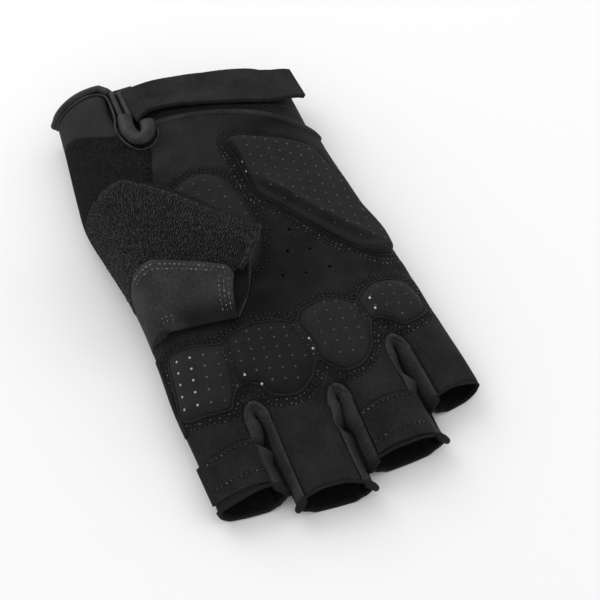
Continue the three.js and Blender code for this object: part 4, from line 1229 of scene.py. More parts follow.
def palm_panel():
    bm = bmesh.new()
    slit_on = SLIT_COLUMNS + INNER_COLUMNS
    zone(bm, ROW_CUFF, ROW_KEYHOLE, KEYHOLE_LENGTH, INNER_COLUMNS)
    zone(bm, ROW_KEYHOLE, ROW_THUMB_FRONT, THUMB_LENGTH, slit_on)
    zone(bm, ROW_THUMB_FRONT, ROW_CROTCH, KNUCKLE_LENGTH, THUMB_COLUMNS + slit_on)
    for finger, spread, width in THUMB_COLUMNS + slit_on:
        patch(bm, STALL_ROWS, net_size(width, PALM_STEP), lambda v, u: finger_face(
            finger, crotch_shares(v), spread(u), 0))
    weld(bm)
    press(bm)
    sink_rim(bm, spare=THUMB_HOLE)
    cut_vents(bm)
    finish_piece(bm, "palm", "suede", SUEDE, ["palm_panel"], wall=CLOTH, lining_and_shade=LINING_AND_SHADE)


def back_panel():
    bm = bmesh.new()
    for finger, spread, width in BACK_COLUMNS:
        columns = net_size(width, BACK_STEP)
        patch(bm, BACK_ROWS, columns, lambda v, u: zone_point(
            mix(0, ROW_CROTCH, v), finger, spread(1 - u), back=True))
        patch(bm, BACK_STALL_ROWS, columns, lambda v, u: finger_face(
            finger, crotch_shares(v), spread(1 - u), 1))
    weld(bm)
    draw_in_cuff(bm)
    sink_rim(bm)
    finish_piece(bm, "back", "knit", KNIT, ["back_panel"], wall=CLOTH, lining_and_shade=LINING_AND_SHADE)


# Folds of each side wall of the gaps: distance from the crotch, half length, move towards the other
# wall, lift
LOBES = [
    ([(5, 4, 1.5, 0.5), (11.3, 1.4, -1.6, -1.6), (14.2, 2.0, 1.3, 0.8), (24, 4, 0.5, 0.3)],
     [(6, 5, -0.6, 0.5)]),
    ([(4.5, 3.5, 1.2, 0.5), (11.5, 1.6, -1.2, -1.3), (16, 3, 0.6, 0.4)],
     [(8, 5, 1.2, 0.6), (14, 2, -0.5, -0.3)]),
    ([(4, 4, 0.4, 0.2), (15, 2.4, 2.0, 0.6)], [(7, 6, 0.6, 0.6)]),
]
SLOT_SHIFT = (0.7, 0.1, 0.0)
SLOT_OPEN = (1.7, 1.3)
SLOT_OPEN_LEVEL = 0.62
FOURCHETTE_RIDGE = (1.1, 0.55)


def fourchette_wall(number, side, run, level):
    """Side wall with the soft ridge beside its seam and the folds by the crotch."""
    gap = GAPS[number]
    which = 0 if side < 0 else 1
    opening = gap_opening(run)
    aside = SLOT_SHIFT[number]
    lift = 0.0
    for fold, reach, push, rise in LOBES[number][which]:
        swell = math.exp(-((run - fold) / reach) ** 2)
        aside -= side * push * swell
        lift += rise * swell
    belly = math.sin(math.pi * level) * opening
    mouth = math.sin(math.pi * clamp(level / SLOT_OPEN_LEVEL)) * opening * ease(run / 9)
    height, ridge_level = FOURCHETTE_RIDGE
    ridge = height * math.sin(math.pi * clamp(level / ridge_level)) * opening
    seam_x = gap_centre(gap, gap[1] - run) + side * PALM_INSET * opening
    shift = cloth_shift(seam_x, gap[1] - run)[0] * (1 - level) ** 2
    wide = aside * belly + side * (SLOT_OPEN[which] * mouth)
    return seam_point(number, side, run, level) + Vector((wide, 0, ridge + lift * belly + shift))


def fourchette(number):
    name = "fourchette_" + GAP_NAMES[number]
    bm = bmesh.new()
    for side in (-1, 1):
        run = wall_run(number, side)
        patch(bm, WALL_ROWS, WALL_COLUMNS, lambda v, u: fourchette_wall(
            number, side, crotch_shares(v) * run, u if side < 0 else 1 - u))
    weld(bm)
    sink_rim(bm, *WALL_GROOVE)
    finish_piece(bm, name + "_cloth", "knit", FOURCHETTE_KNIT, [name], wall=WALL_CLOTH, lining_and_shade=LINING_AND_SHADE)


# Tubes: rolls, beads, hems and bindings
def tube(bm, points, half_width, half_height, around, closed, facing, taper):
    """Round or flattened tube along points in millimetres, flat side to facing, with closed ends."""
    count = len(points)
    last = count - 1
    rows = count if closed else count + 1

    def ring(number, angle):
        ahead = points[(number + 1) % count] if closed else points[min(number + 1, last)]
        behind = points[number - 1] if closed else points[max(number - 1, 0)]
        along = (ahead - behind).normalized()
        aside = facing.cross(along).normalized()
        lift = along.cross(aside)
        full = 1.0
        if taper:
            inwards = clamp((min(number, last - number) + 0.5) / taper)
            full = math.sqrt(1 - (1 - inwards) ** 2)
        spoke = aside * (half_width * math.cos(angle)) + lift * (half_height * math.sin(angle))
        return points[number] + spoke * full

    def at(v, u):
        number = round(v * rows)
        angle = -2 * math.pi * u
        if closed:
            return ring(number % count, angle)
        if number == 0 or number == rows:
            return points[0 if number == 0 else last]
        return ring(number - 1, angle)

    patch(bm, rows, around, at)


def roll(name, routes, half_width, half_height, slot, material, replaces=(), padded=None, around=12,
         closed=False, facing=Vector((0, 0, 1)), taper=0):
    """One piece made of a tube along each route."""
    bm = bmesh.new()
    for points in routes:
        tube(bm, points, half_width, half_height, around, closed, facing, taper)
    close(bm, 0.01)
    finish_piece(bm, name, slot, material, replaces, padded=padded)


# Hems of the stalls: radius and how far the hem lies inside the mouth
HEMS = {"index": (0.75, 0.15), "middle": (0.5, 0.45), "ring": (0.65, 0.45), "little": (0.5, 0.45)}
MOUTH_STEPS = (24, 14)
MOUTH_LEAST = 0.25
CURL = (1.4, 1.2)
CURL_BEND = 0.6
CURL_LEVELS = (0.06, 0.66)
CURL_FLOOR = 0.2
CROTCH_ROLL = 6.5
CROTCH_BEAD = (0.8, 0.7)
# Near-black cloth deep in the slots as painted shade: its start past the crotch, its end before the
# hem, its level
SLOT_SHADE_SPAN = (4, 2.5)
SLOT_SHADE_LEVEL = 0.56


def stall_mouth(finger):
    """Points round the mouth of a stall: palm face, right wall, back face, left wall."""
    steps, wall_steps = MOUTH_STEPS
    levels = [n / wall_steps for n in range(1, wall_steps)]

    def wall(number, side):
        if not 0 <= number < len(GAPS):
            return []
        return [fourchette_wall(number, side, wall_run(number, side), level) for level in levels]

    route = [finger_face(finger, 1, n / steps, 0) for n in range(steps + 1)]
    route += wall(finger, -1)
    route += [finger_face(finger, 1, 1 - n / steps, 1) for n in range(steps + 1)]
    route += wall(finger - 1, 1)[::-1]
    clean = [route[0]]
    for point in route[1:]:
        if (point - clean[-1]).length > MOUTH_LEAST:
            clean.append(point)
    while (clean[-1] - clean[0]).length < MOUTH_LEAST:
        clean.pop()
    return clean


def hems():
    for finger, (name, (radius, inset)) in enumerate(HEMS.items()):
        mouth = stall_mouth(finger)
        centre = sum(mouth, Vector()) / len(mouth)
        route = [point + (centre - point).normalized() * inset for point in mouth]
        for point in route:
            point.z = max(point.z, radius)
        roll(name + "_hem", [route], radius, radius, "suede", HEM_CLOTH, around=8, closed=True,
             facing=Vector((0, 1, 0)))


def curl_route(number, side):
    """Curled end of a side wall, below the hem."""
    route = []
    for n in range(21):
        bend = math.sin(math.pi * n / 20)
        point = fourchette_wall(number, side, wall_run(number, side), mix(*CURL_LEVELS, n / 20))
        point += Vector((-side * CURL_BEND * bend, -0.5 - 0.5 * bend, -0.3))
        point.z = max(point.z, CURL[0] + CURL_FLOOR)
        route.append(point)
    return route


def crotch_route(number):
    """Rolled seam round the crotch, which sinks into the walls at both ends."""
    route = []
    for side in (-1, 1):
        sunk = []
        for n in range(13):
            point = fourchette_wall(number, side, CROTCH_ROLL * (n / 12) ** 1.6, 0.04)
            sunk.append(point + Vector((0, 0.2, 0.15 - 0.9 * n / 12)))
        route += sunk[::-1] if side < 0 else sunk[1:]
    return route


def curls():
    numbers = range(len(GAPS))
    roll("stall_curls", [curl_route(number, side) for number in numbers for side in (-1, 1)], *CURL,
         "knit", HEM_CLOTH, taper=5)
    roll("crotch_rolls", [crotch_route(number) for number in numbers], *CROTCH_BEAD, "knit",
         FOURCHETTE_KNIT)


def slot_shade_cloth():
    """Cloth that closes the slots between the stalls, near-black as painted shade in the dark between
    the side walls.
    """
    start, end = SLOT_SHADE_SPAN

    def ribbon(number, v, u):
        left, right = [fourchette_wall(number, side, mix(start, wall_run(number, side) - end, v),
                                       SLOT_SHADE_LEVEL) for side in (-1, 1)]
        return left.lerp(right, u)

    bm = bmesh.new()
    for number in range(len(GAPS)):
        patch(bm, 30, 4, lambda v, u: ribbon(number, v, u))
    finish_piece(bm, "slot_shade_cloth", "knit", LINING_AND_SHADE, wall=0.3)


def cuff_panels():
    for name, material, slot, first, last, length, columns in (
            ("cuff_flap", CUFF_KNIT, "knit", 0, ROW_CUFF, 18, THUMB_COLUMNS),
            # The cuff band under the strap takes the darker knit: painted shade
            ("cuff_band", CUFF_KNIT_PAINTED_SHADE, "knit", 0, ROW_CUFF, 22, INNER_COLUMNS),
            ("wrist_terry", TERRY, "terry", ROW_CUFF, ROW_THUMB_BACK, 30, THUMB_COLUMNS)):
        bm = bmesh.new()
        zone(bm, first, last, length, columns)
        weld(bm)
        if name == "cuff_band":
            draw_in_cuff(bm)
        sink_rim(bm, spare=THUMB_HOLE)
        finish_piece(bm, name + "_cloth", slot, material, [name], wall=CLOTH, lining_and_shade=LINING_AND_SHADE)


# Thumb stall; rows run from its root to its mouth
THUMB_MESH_ROWS = 80
PATCH_LIFT = 0.5
PATCH_CORNER = (9.1, 0.06)
# Painted shade on the suede patch's foot: its reach, and the x where it starts and how far it grows
PATCH_SHADE = 6.8
PATCH_SHADE_FROM = (-50, 9)
PATCH_OVERLAP = 0.06
TERRY_LOBE = Vector((1.0, -0.4, -0.9))
TERRY_LOBE_PLACE = (6.8, 0.42, 0.26, 0.695, 0.05)

# Rows of stitches on the patch: distances below its edge, distances from the mouth, rows of the tack,
# and how far along the patch each kind runs
PATCH_SEAMS = (0.022, 0.046)
PATCH_SEAM_ROWS = (2.3, 9.35)
MOUTH_SEAMS = (0.38, 0.76, 1.14)
MOUTH_SEAM_SPAN = (0.2, 0.97)
PATCH_TACK = (3.5, 4.0, 4.5)
TACK_SPAN = (0.82, 0.98)
THUMB_STITCH = (1.0, 0.4, 0.36)


def thumb_top(row, u, height):
    """Point at a height over the upper sheet of the stall, measured square to it."""
    down = thumb_upper(min(row + 0.05, THUMB_ROWS), u) - thumb_upper(max(row - 0.05, 0), u)
    over = thumb_upper(row, min(u + 0.01, 1)) - thumb_upper(row, max(u - 0.01, 0))
    return thumb_upper(row, u) + over.cross(down).normalized() * height


def patch_edge(row):
    """Where the suede patch starts: its corner by the mouth is rounded off."""
    start, depth = PATCH_CORNER
    return THUMB_PATCH_FROM + depth * clamp((row - start) / (THUMB_ROWS - start)) ** 2


def patch_point(row, t):
    lift = PATCH_LIFT * ease((1 - t) / 0.3) * ease(row / 3)
    return thumb_top(row, mix(patch_edge(row), 1, t), lift)


def terry_point(row, u):
    """Terry sheet of the thumb, whose lower corner hangs over the mouth."""
    row_start, u_start, u_grown, u_end, u_fade = TERRY_LOBE_PLACE
    reach = ease((row - row_start) / (THUMB_ROWS - row_start)) * ease((u - u_start) / u_grown)
    return thumb_upper(row, u) + TERRY_LOBE * (reach * (1 - ease((u - u_end) / u_fade)))


def shade_foot(bm):
    """Paints shade on the suede patch where it turns under."""
    foot = tree_of([thumb_upper(n / 4, 1) for n in range(4 * THUMB_ROWS + 1)])
    pressed_and_shade = bm.verts.layers.float.new("pressed_and_shade")
    start, fade = PATCH_SHADE_FROM
    for vertex in bm.verts:
        spot = hand_place(vertex)
        near = 1 - ease(foot.find(spot)[2] / PATCH_SHADE)
        vertex[pressed_and_shade] = near * ease((spot[0] - start) / fade)


def thumb_panel(name, slot, material, parts, rim=0.45, lining_and_shade=LINING_AND_SHADE):
    bm = bmesh.new()
    for columns, at in parts:
        patch(bm, THUMB_MESH_ROWS, columns, lambda v, u: at(v * THUMB_ROWS, 1 - u))
    weld(bm)
    if name == "thumb_patch":
        shade_foot(bm)
    sink_rim(bm, 1.3, rim, spare=THUMB_HOLE)
    finish_piece(bm, name + "_cloth", slot, material, [name], wall=CLOTH, lining_and_shade=lining_and_shade)


def thumb_stall():
    thumb_panel("thumb_terry", "terry", TERRY, [
        (70, lambda row, t: terry_point(row, t * (THUMB_PATCH_FROM + PATCH_OVERLAP))),
        (12, lambda row, t: thumb_cap(row, 1 - t, "back")),
    ])
    thumb_panel("thumb_patch", "suede", SUEDE_PATCH, [
        (30, patch_point),
        (12, lambda row, t: thumb_cap(row, t, "front")),
    ], rim=0.3)
    # The under sheet's inside takes the darker cuff knit: painted shade in the mouth
    thumb_panel("thumb_under", "knit", KNIT, [
        (40, lambda row, t: thumb_lower(row, 1 - t)),
    ], lining_and_shade=CUFF_KNIT_PAINTED_SHADE)


def thumb_seams():
    """Stitches of the suede patch: rows along its top and beside the mouth, and a tack at its foot."""
    routes = []
    for out in PATCH_SEAMS:
        routes.append([patch_point(row, out / (1 - patch_edge(row)))
                       for row in np.linspace(*PATCH_SEAM_ROWS, 60)])
    for inset in MOUTH_SEAMS:
        routes.append([patch_point(THUMB_ROWS - inset, t) for t in np.linspace(*MOUTH_SEAM_SPAN, 30)])
    for row in PATCH_TACK:
        routes.append([patch_point(row, t) for t in np.linspace(*TACK_SPAN, 8)])
    frames = []
    for route in routes:
        for spot, way in walk(route, STITCH_PITCH):
            up = way.cross(Vector((0, 0, 1))).cross(way)
            if abs(way.z) > 0.6:
                up = Vector((0.2, -0.75, 0.65))
            frames.append(frame_at(spot + up.normalized() * 0.1, way, up, THUMB_STITCH))
    return frames


# Looped pile: distance between rows and between loops, slant, shift of each row, lean on the thumb
LOOP_PITCH = (0.78, 0.66)
LOOP_SLANT = math.radians(12)
LOOP_SHIFT = 0.42
LOOP_TURN = 0.55
LOOP_THREAD = 0.2
TERRY_LEAN = 7.0
LOOP_UNEVEN = (0.85, 1.15)
LOOP_TALL = (0.8, 1.3)

# Loops over the terry's hem: radius of the hem, pitch along it, angles round it, size
HEM_RADIUS = 1.0
HEM_PITCH = 0.52
HEM_ANGLES = (-0.9, -0.2, 0.5, 1.2, 1.8)
HEM_LOOP = 0.7
HEM_LOOP_OUT = 0.92
HEM_SEED = 9


def loop_shape():
    """Arch of a loop: a half ring of three-sided thread."""
    shape = bmesh.new()
    start = bmesh.ops.create_circle(shape, segments=3, radius=LOOP_THREAD,
                                    matrix=Matrix.Translation((0.36, 0, 0)))["verts"]
    bmesh.ops.spin(shape, geom=start + shape.edges[:], cent=(0, 0, 0), axis=(0, -1, 0),
                   dvec=(0, 0, 0), angle=math.pi, steps=4)
    bmesh.ops.recalc_face_normals(shape, faces=shape.faces)
    return shape


def pile(name, at, material, length, seed, size, slant):
    """Rows of loops over a surface at(v, u), whose first and last row are length apart."""
    draw = random.Random(seed)
    frames = []
    rows = round(length / LOOP_PITCH[0])
    step = 0.004
    for row in range(rows):
        v = (row + 0.5) / rows
        line = [at(v, n / 12) for n in range(13)]
        run = sum((b - a).length for a, b in zip(line, line[1:]))
        count = max(2, round(run / LOOP_PITCH[1]))
        for number in range(count):
            u = (number + (0.5 + row * LOOP_SHIFT) % 1 + draw.uniform(-0.2, 0.2)) / count
            u = clamp(u, step, 1 - step)
            spot = at(clamp(v + draw.uniform(-0.3, 0.3) / rows), u)
            over = (at(v, min(u + step, 1)) - at(v, max(u - step, 0))).normalized()
            down = (at(min(v + step, 1), u) - at(max(v - step, 0), u)).normalized()
            up = over.cross(down)
            if up.length < 0.2:
                continue
            turn = slant + draw.uniform(-LOOP_TURN, LOOP_TURN)
            way = over * math.cos(turn) + down * math.sin(turn)
            grown = size * draw.uniform(*LOOP_UNEVEN)
            frames.append(frame_at(spot - up.normalized() * 0.05, way, up.normalized(),
                                   (grown, grown, grown * draw.uniform(*LOOP_TALL))))
    copies(name, loop_shape(), frames, "terry", material)


def thumb_terry(v, u):
    return terry_point(mix(0.05, 9.97, v) + TERRY_LEAN * v * (1 - v) * (0.5 - u), mix(0.008, 0.705, u))


def wrist_terry(v, u):
    row = mix(ROW_CUFF + 0.1, ROW_THUMB_BACK - 0.02, v)
    return zone_point(row, 0, SLIT_SHARES[0] * mix(0.02, 0.97, u))


def terry_pile():
    pile("thumb_terry_pile", thumb_terry, TERRY_LOOP, length=60, seed=3, size=0.76, slant=LOOP_SLANT)
    pile("wrist_terry_pile", wrist_terry, TERRY_SOFT, length=32, seed=5, size=0.72, slant=-LOOP_SLANT)
    hem = [terry_point(THUMB_ROWS, n / 40 * 0.7) + Vector((-0.3, 0, -0.75)) for n in range(41)]
    roll("thumb_terry_hem", [hem], HEM_RADIUS, HEM_RADIUS, "terry", TERRY, around=10)
    frames = []
    draw = random.Random(HEM_SEED)
    for spot, way in walk(hem, HEM_PITCH):
        for angle in HEM_ANGLES:
            up = Vector((math.sin(angle) * 0.8, -0.2, math.cos(angle))).normalized()
            turn = draw.uniform(-0.5, 0.5)
            aside = up.cross(way)
            lean = way * math.cos(turn) + aside * math.sin(turn)
            frames.append(frame_at(spot + up * HEM_LOOP_OUT, lean, up,
                                   (HEM_LOOP, HEM_LOOP, draw.uniform(*LOOP_TALL) * 0.85)))
    copies("thumb_hem_pile", loop_shape(), frames, "terry", TERRY_LOOP)


# Pads and their silicone dots: length, width and height of a dot, its distance from the pad's edge
DOT = (0.92, 0.92, 0.52)
DOT_MARGIN = 1.7
DOT_REACH = 16
# Painted glints: size of the brighter dots, and x, y of each
PAINTED_GLINT_DOT = (0.95, 0.95, 0.7)
PAINTED_GLINT_DOTS = [(-32.7, -33.6), (-28.8, -38.5), (-8.6, -29.1), (-8.8, -33.1), (15.9, -22.1),
              (16.0, -26.0), (-3.6, 45.3), (-3.7, 41.3)]


def cushion(name):
    pad = PADS[name]
    edge = pad.outline.points[::2]
    count = len(edge)
    centre = sum(edge, Vector((0, 0))) / count

    def dome(v, u):
        if v >= 1:
            return above(centre.x, centre.y, pad.rise(centre.x, centre.y))
        x, y = edge[round(u * count) % count].lerp(centre, v ** 1.4)
        return above(x, y, pad.rise(x, y) if v > 0 else -0.25)

    bm = bmesh.new()
    patch(bm, 34, count, dome)
    close(bm)
    cloth = PAD_CLOTH_DARK if name == "knuckle_pad_middle" else PAD_CLOTH
    finish_piece(bm, name + "_cushion", "pad_cloth", cloth, [name], wall=0.8, padded=PAD_FILL)


def silicone_dots():
    level = Vector((1, 0))
    steps = range(-DOT_REACH, DOT_REACH + 1)
    frames = []
    for pad in PADS.values():
        spots = [pad.first_dot + pad.steps[0] * i + pad.steps[1] * j for i in steps for j in steps]
        frames += [palm_frame(spot, level, 0.0, DOT) for spot in spots
                   if pad.outline.depth(*spot)[0] > DOT_MARGIN]
    copies("silicone_dots", bead_shape(8, 6), frames, "pad_cloth", SILICONE)
    # Painted glints on a few dots
    frames = [palm_frame(Vector(spot), level, 0.05, PAINTED_GLINT_DOT) for spot in PAINTED_GLINT_DOTS]
    copies("painted_glint_dots", bead_shape(8, 6), frames, "pad_cloth", SILICONE_PAINTED_GLINT)


# Bindings: x, y of both ends, half width of the rolls beside the slit
SLIT_ROLLS = {
    "slit_binding_left": (-35.9, 95.0, 80.6, 1.2),
    "slit_binding_right": (-32.7, 94.6, 79.6, 1.8),
}
KEYHOLE = [(-35.2, 80.4), (-36.0, 75.6), (-35.6, 71.2), (-34.0, 68.2), (-31.7, 67.9), (-29.6, 70.4),
           (-28.8, 74.4)]
KEYHOLE_HALF = (2.8, 1.8)
KEYHOLE_FILL = 0.9
CUFF_CORNER = [(-38.2, 98.9), (-37.2, 97.6), (-36.5, 95.6)]
FLAP_EDGE = [(-57.0, 98.6), (-50.0, 98.3), (-43.4, 97.8), (-39.6, 96.2), (-38.0, 93.4),
             (-38.0, 86.1), (-38.6, 82.1), (-39.6, 78.1), (-39.2, 73.6), (-37.7, 68.8),
             (-34.9, 64.9), (-31.0, 64.3), (-27.7, 66.9), (-26.1, 71.0), (-26.6, 75.0)]

# Rolls and beads: half width and half height, and the stretch of x or y that they run along
SLIT_ROLL_HEIGHT = 1.3
CUFF_BINDING = (1.6, 1.6)
CUFF_BINDING_X = (-57.4, -39.4)
CUFF_BINDING_OUT = 1.7
FLAP_BEAD = (0.45, 0.45)
CUFF_BEAD = (1.3, 0.75)
CUFF_BEAD_X = (-27, 30.6)
LIP_BEAD = (0.3, 0.3)
PAD_BEAD = (0.3, 0.32)
PAD_BEAD_OUT = 0.15
SIDE_STRIP = (0.85, 1.5)
SIDE_STRIP_Y = (-12, -42.5)

# Dark cloth under the slit: x of its sides, y of its ends, distance below the palm
SLIT_LINING_X = (-41.5, -27.5)
SLIT_LINING_Y = (98, 62)
SLIT_LINING_DROP = -1.35


def over_palm(flat, count, height):
    return [palm_point(*point, height) for point in curve_points(flat, count, closed=False)]


def bindings():
    for name, (x, top, bottom, half_width) in SLIT_ROLLS.items():
        route = [palm_point(x, mix(top, bottom, n / 24), 0.1) for n in range(25)]
        roll(name + "_roll", [route], half_width, SLIT_ROLL_HEIGHT, "binding", BINDING, [name])
    route = over_palm(KEYHOLE, 56, CLEARANCE + KEYHOLE_HALF[1])
    roll("keyhole_piping", [route], *KEYHOLE_HALF, "binding", BINDING, ["keyhole_roll"],
         padded=KEYHOLE_FILL, around=16)
    route = [palm_point(x, across(WRIST_END, x), -0.2) + Vector((0, CUFF_BINDING_OUT, 0))
             for x in np.linspace(*CUFF_BINDING_X, 24)]
    route += [palm_point(x, y, -0.3) for x, y in CUFF_CORNER]
    roll("cuff_binding_roll", [route], *CUFF_BINDING, "binding", BINDING, ["cuff_binding"])


def seam_beads():
    """Raised seams and cut edges: the cuff flap, the cuff, the lip under the thumb, round each pad."""
    flap = over_palm(FLAP_EDGE, 90, 0.25)
    roll("keyhole_bead", [flap], *FLAP_BEAD, "binding", EDGE_LIGHT, around=6)
    cuff = [palm_point(x, across(CUFF_SEAM, x) - 0.7, -0.05) for x in np.linspace(*CUFF_BEAD_X, 90)]
    # The cuff seam's ridge takes the lighter suede: painted highlight
    roll("cuff_seam_bead", [cuff], *CUFF_BEAD, "suede", SEAM_SUEDE_PAINTED_HIGHLIGHT)
    lip = [thumb_lower(THUMB_ROWS, u) + Vector((0.1, 0, 0.2)) for u in np.linspace(0.12, 1, 60)]
    roll("thumb_lip_bead", [lip], *LIP_BEAD, "binding", EDGE_LIGHT, around=6)
    edges = [[cloth_point(*point, 0.12) for point in beside(outline.points, PAD_BEAD_OUT, True)]
             for outline in [WINDOW] + HEEL_OUTLINES]
    roll("pad_edge_bead", edges, *PAD_BEAD, "suede", EDGE, around=6, closed=True)


def side_strip():
    """Sewn edge that runs down the thumb side beside the first pad."""
    route = []
    for n in range(31):
        y = mix(*SIDE_STRIP_Y, n / 30)
        left, _, _, side = hand(y)
        route.append(Vector((left + 0.35, y, side + 1.3)))
    roll("side_strip", [route], *SIDE_STRIP, "suede", SUEDE)


def slit_lining():
    """Dark cloth under the wrist slit."""
    bm = bmesh.new()
    patch(bm, 40, 14, lambda v, u: palm_point(
        mix(*SLIT_LINING_X, u), mix(*SLIT_LINING_Y, v), SLIT_LINING_DROP))
    finish_piece(bm, "slit_lining", "knit", LINING_AND_SHADE, wall=0.4)


# Closure strap: x, y of its finger-side edge, least height of its lower face, lift of that edge
STRAP = [
    (-32.4, 75.9, 0, 0.6), (-29, 78.0, 0, 1.3), (-22, 78.6, 0, 1.4), (-9, 75.8, 0, 0.8),
    (4, 72.4, 24, 0.4), (16, 70.4, 23.4, 0.3), (24, 71.0, 21.2, 0.3), (29, 71.8, 19.0, 0.2),
    (31.6, 72.2, 17.4, 0),
]
STRAP_FAR = [(-32.4, 93.6), (-22, 94.2), (-9, 92.2), (4, 89.2), (16, 87.0), (31.6, 88.4)]
STRAP_FALL = 2.0
STRAP_LIFT = 0.5
STRAP_THICKNESS = 1.8
STRAP_SAG = (0.12, 0.11)
STRAP_ROUND = 0.5


def strap_top(v, u):
    x = mix(STRAP[0][0], STRAP[-1][0], u)
    near, held, edge = through(STRAP, x)
    share = 1 - v
    y = mix(near, across(STRAP_FAR, x), share)
    lower = max(palm_height(x, y) + STRAP_LIFT, held - STRAP_FALL * share)
    size, pitch = STRAP_SAG
    sag = size * noise.noise(Vector((x * pitch, y * pitch, 3.3)))
    return Vector((x, y, lower + STRAP_THICKNESS + edge * (1 - ease(share / 0.45)) + sag))


def closure_strap():
    bm = bmesh.new()
    patch(bm, 34, 110, strap_top)
    finish_piece(bm, "closure_strap_cloth", "suede", STRAP_CLOTH, ["closure_strap"],
                 wall=STRAP_THICKNESS, round_edge=STRAP_ROUND)


# Pull tabs: left and right x, y of the upper edge at both ends, y of the lower edge at both ends
TABS = {
    "pull_tab_index": (-56.2, -38.2, -54.6, -52.8, -68.3, -68.2),
    "pull_tab_ring": (-1.4, 17.4, -56.6, -55.6, -72.0, -71.4),
}
TAB_THICKNESS = 0.8
TAB_LIFT = 0.2
TAB_OVERHANG = 0.8
TAB_SEAMS = (1.2, 3.9)
TAB_ROUND = 0.25
# Half width and half height of the painted shadow line along each tab's upper edge
TAB_SHADOW_LINE = (0.35, 0.3)


def tab_place(name, v, u):
    left, right, top_left, top_right, bottom_left, bottom_right = TABS[name]
    share = 0.5 - 0.5 * math.cos(math.pi * u)
    y = mix(mix(top_left, bottom_left, v), mix(top_right, bottom_right, v), share)
    return mix(left, right, share), y


def tab_top(name, v, u):
    x, y = tab_place(name, v, u)
    point = above(x, y, TAB_LIFT + TAB_THICKNESS)
    point.x -= TAB_OVERHANG * (1 - 0.6 * v) * (1 - ease((x - hand(y)[0]) / 3))
    return point


def pull_tab(name):
    bm = bmesh.new()
    patch(bm, 22, 40, lambda v, u: tab_top(name, v, u))
    finish_piece(bm, name + "_cloth", "suede", SUEDE, [name], wall=TAB_THICKNESS,
                 round_edge=TAB_ROUND)


def tab_shadow_lines():
    """Painted shadow: a dark line along each tab's upper edge, where it lies on the stall."""
    routes = []
    for name in TABS:
        line = [tab_place(name, 0, n / 40) for n in range(41)]
        routes.append([above(x, y + 0.3, 0.2) for x, y in line])
    roll("tab_painted_shadow_line", routes, *TAB_SHADOW_LINE, "suede", LINING_AND_SHADE, around=6)


def tab_seams():
    """Two rows of stitches on each tab, with painted shade in the dents between them."""
    frames = []
    height = TAB_LIFT + TAB_THICKNESS
    for name, (_, _, top, _, bottom, _) in TABS.items():
        for out in (TAB_SEAMS[0], top - bottom - TAB_SEAMS[1]):
            line = [Vector(tab_place(name, out / (top - bottom), n / 30)) for n in range(31)]
            for spot, way in walk(line, STITCH_PITCH):
                frames.append(lying_frame(spot, way, lambda x, y: above(x, y, height + 0.05), STITCH))
                dent = spot + way * STITCH_PITCH / 2
                along, up = frames[-1][1], frames[-1][3]
                DENT_SHADES.append(frame_at(above(*dent, height), along, up, DENT_SHADE))
    return frames


# Seams of the palm: distances of the rows from the knuckle pads and from the pads of the heel
WINDOW_SEAMS = (1.5, 3.1)
ULNAR_SEAMS = (2.2, 3.9)
THENAR_SEAMS = (1.4, 2.8)
CHANNEL_SEAMS = (-0.8, 0.8)
ZIGZAG = [(-22.5, 78.4), (-8.4, 75.2), (9.1, 70.7), (23.7, 68.2)]
ZIGZAG_STITCH = (1.4, 0.36, 0.36)
ZIGZAG_PITCH = 1.0
ZIGZAG_TURN = 0.9


def off_the_seam(spot):
    """False in the corner of the heel pad that another seam takes up."""
    return spot.x * 0.75 + spot.y * 0.66 < 32 and spot.y > -8 or spot.x < -4


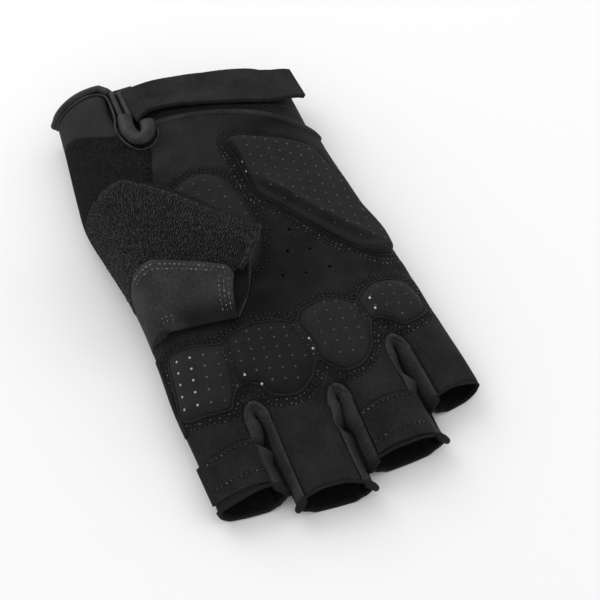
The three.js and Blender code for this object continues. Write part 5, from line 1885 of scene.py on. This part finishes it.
def seams():
    frames = []
    for out in WINDOW_SEAMS:
        frames += outline_row(WINDOW, out)
    for out in ULNAR_SEAMS:
        frames += outline_row(PADS["ulnar_pad"].outline, out, off_the_seam)
    for out in THENAR_SEAMS:
        frames += outline_row(PADS["thenar_pad"].outline, out)
    for channel in CHANNELS:
        line = curve_points(channel, 40, closed=False)
        for out in CHANNEL_SEAMS:
            frames += [palm_frame(*shaken(spot, way), 0.05)
                       for spot, way in walk(beside(line, out), STITCH_PITCH)]
    zigzag = []
    line = curve_points(ZIGZAG, 80, closed=False)
    for number, (spot, way) in enumerate(walk(line, ZIGZAG_PITCH)):
        across_way = turned(way, ZIGZAG_TURN if number % 2 else -ZIGZAG_TURN)
        zigzag.append(palm_frame(spot, across_way, 0.05, ZIGZAG_STITCH))
    frames += tab_seams()
    for name, rows, slot, material in (
            ("palm_stitches", frames, "binding", THREAD),
            ("dim_stitches", DIM_STITCHES, "binding", THREAD_PAINTED_SHADE),
            ("stitch_dent_shades", DENT_SHADES, "suede", LINING_AND_SHADE),
            ("thumb_stitches", thumb_seams(), "binding", THREAD_LIGHT),
            # The zigzag under the strap takes the darker thread: painted shade
            ("cuff_zigzag", zigzag, "binding", THREAD_PAINTED_SHADE)):
        copies(name, bead_shape(), rows, slot, material)


# Studio; each light's name, place in metres, size and power
FLOOR_SIZE = 3.0
FLOOR_TONE = 0.82
SKY = 0.95
LIGHTS = (("window", (-0.35, 0.85, 0.75), 0.9, 5.0), ("fill", (0.8, -0.1, 0.8), 0.6, 1.0))


def studio():
    bm = bmesh.new()
    bmesh.ops.create_grid(bm, x_segments=1, y_segments=1, size=FLOOR_SIZE)
    mesh = bpy.data.meshes.new("floor")
    bm.to_mesh(mesh)
    bm.free()
    floor = add_object("floor", mesh)
    finish = Finish("floor_white")
    finish.set(Base_Color=grey(FLOOR_TONE), Roughness=0.9)
    mesh.materials.append(finish.material)
    world = bpy.data.worlds.new("studio")
    world.use_nodes = True
    background = world.node_tree.nodes["Background"]
    background.inputs["Color"].default_value = grey(1)
    background.inputs["Strength"].default_value = SKY
    bpy.context.scene.world = world
    for name, spot, size, power in LIGHTS:
        data = bpy.data.lights.new(name, "AREA")
        data.size = size
        data.energy = power
        light = add_object(name, data)
        light.location = spot
        light.rotation_euler = Vector(spot).to_track_quat("Z", "Y").to_euler()
    bpy.context.scene.view_settings.view_transform = "Standard"


studio()
palm_panel()
back_panel()
for number in range(len(GAPS)):
    fourchette(number)
hems()
curls()
slot_shade_cloth()
cuff_panels()
thumb_stall()
terry_pile()
for name in PADS:
    cushion(name)
silicone_dots()
bindings()
seam_beads()
side_strip()
slit_lining()
closure_strap()
for name in TABS:
    pull_tab(name)
tab_shadow_lines()
seams()
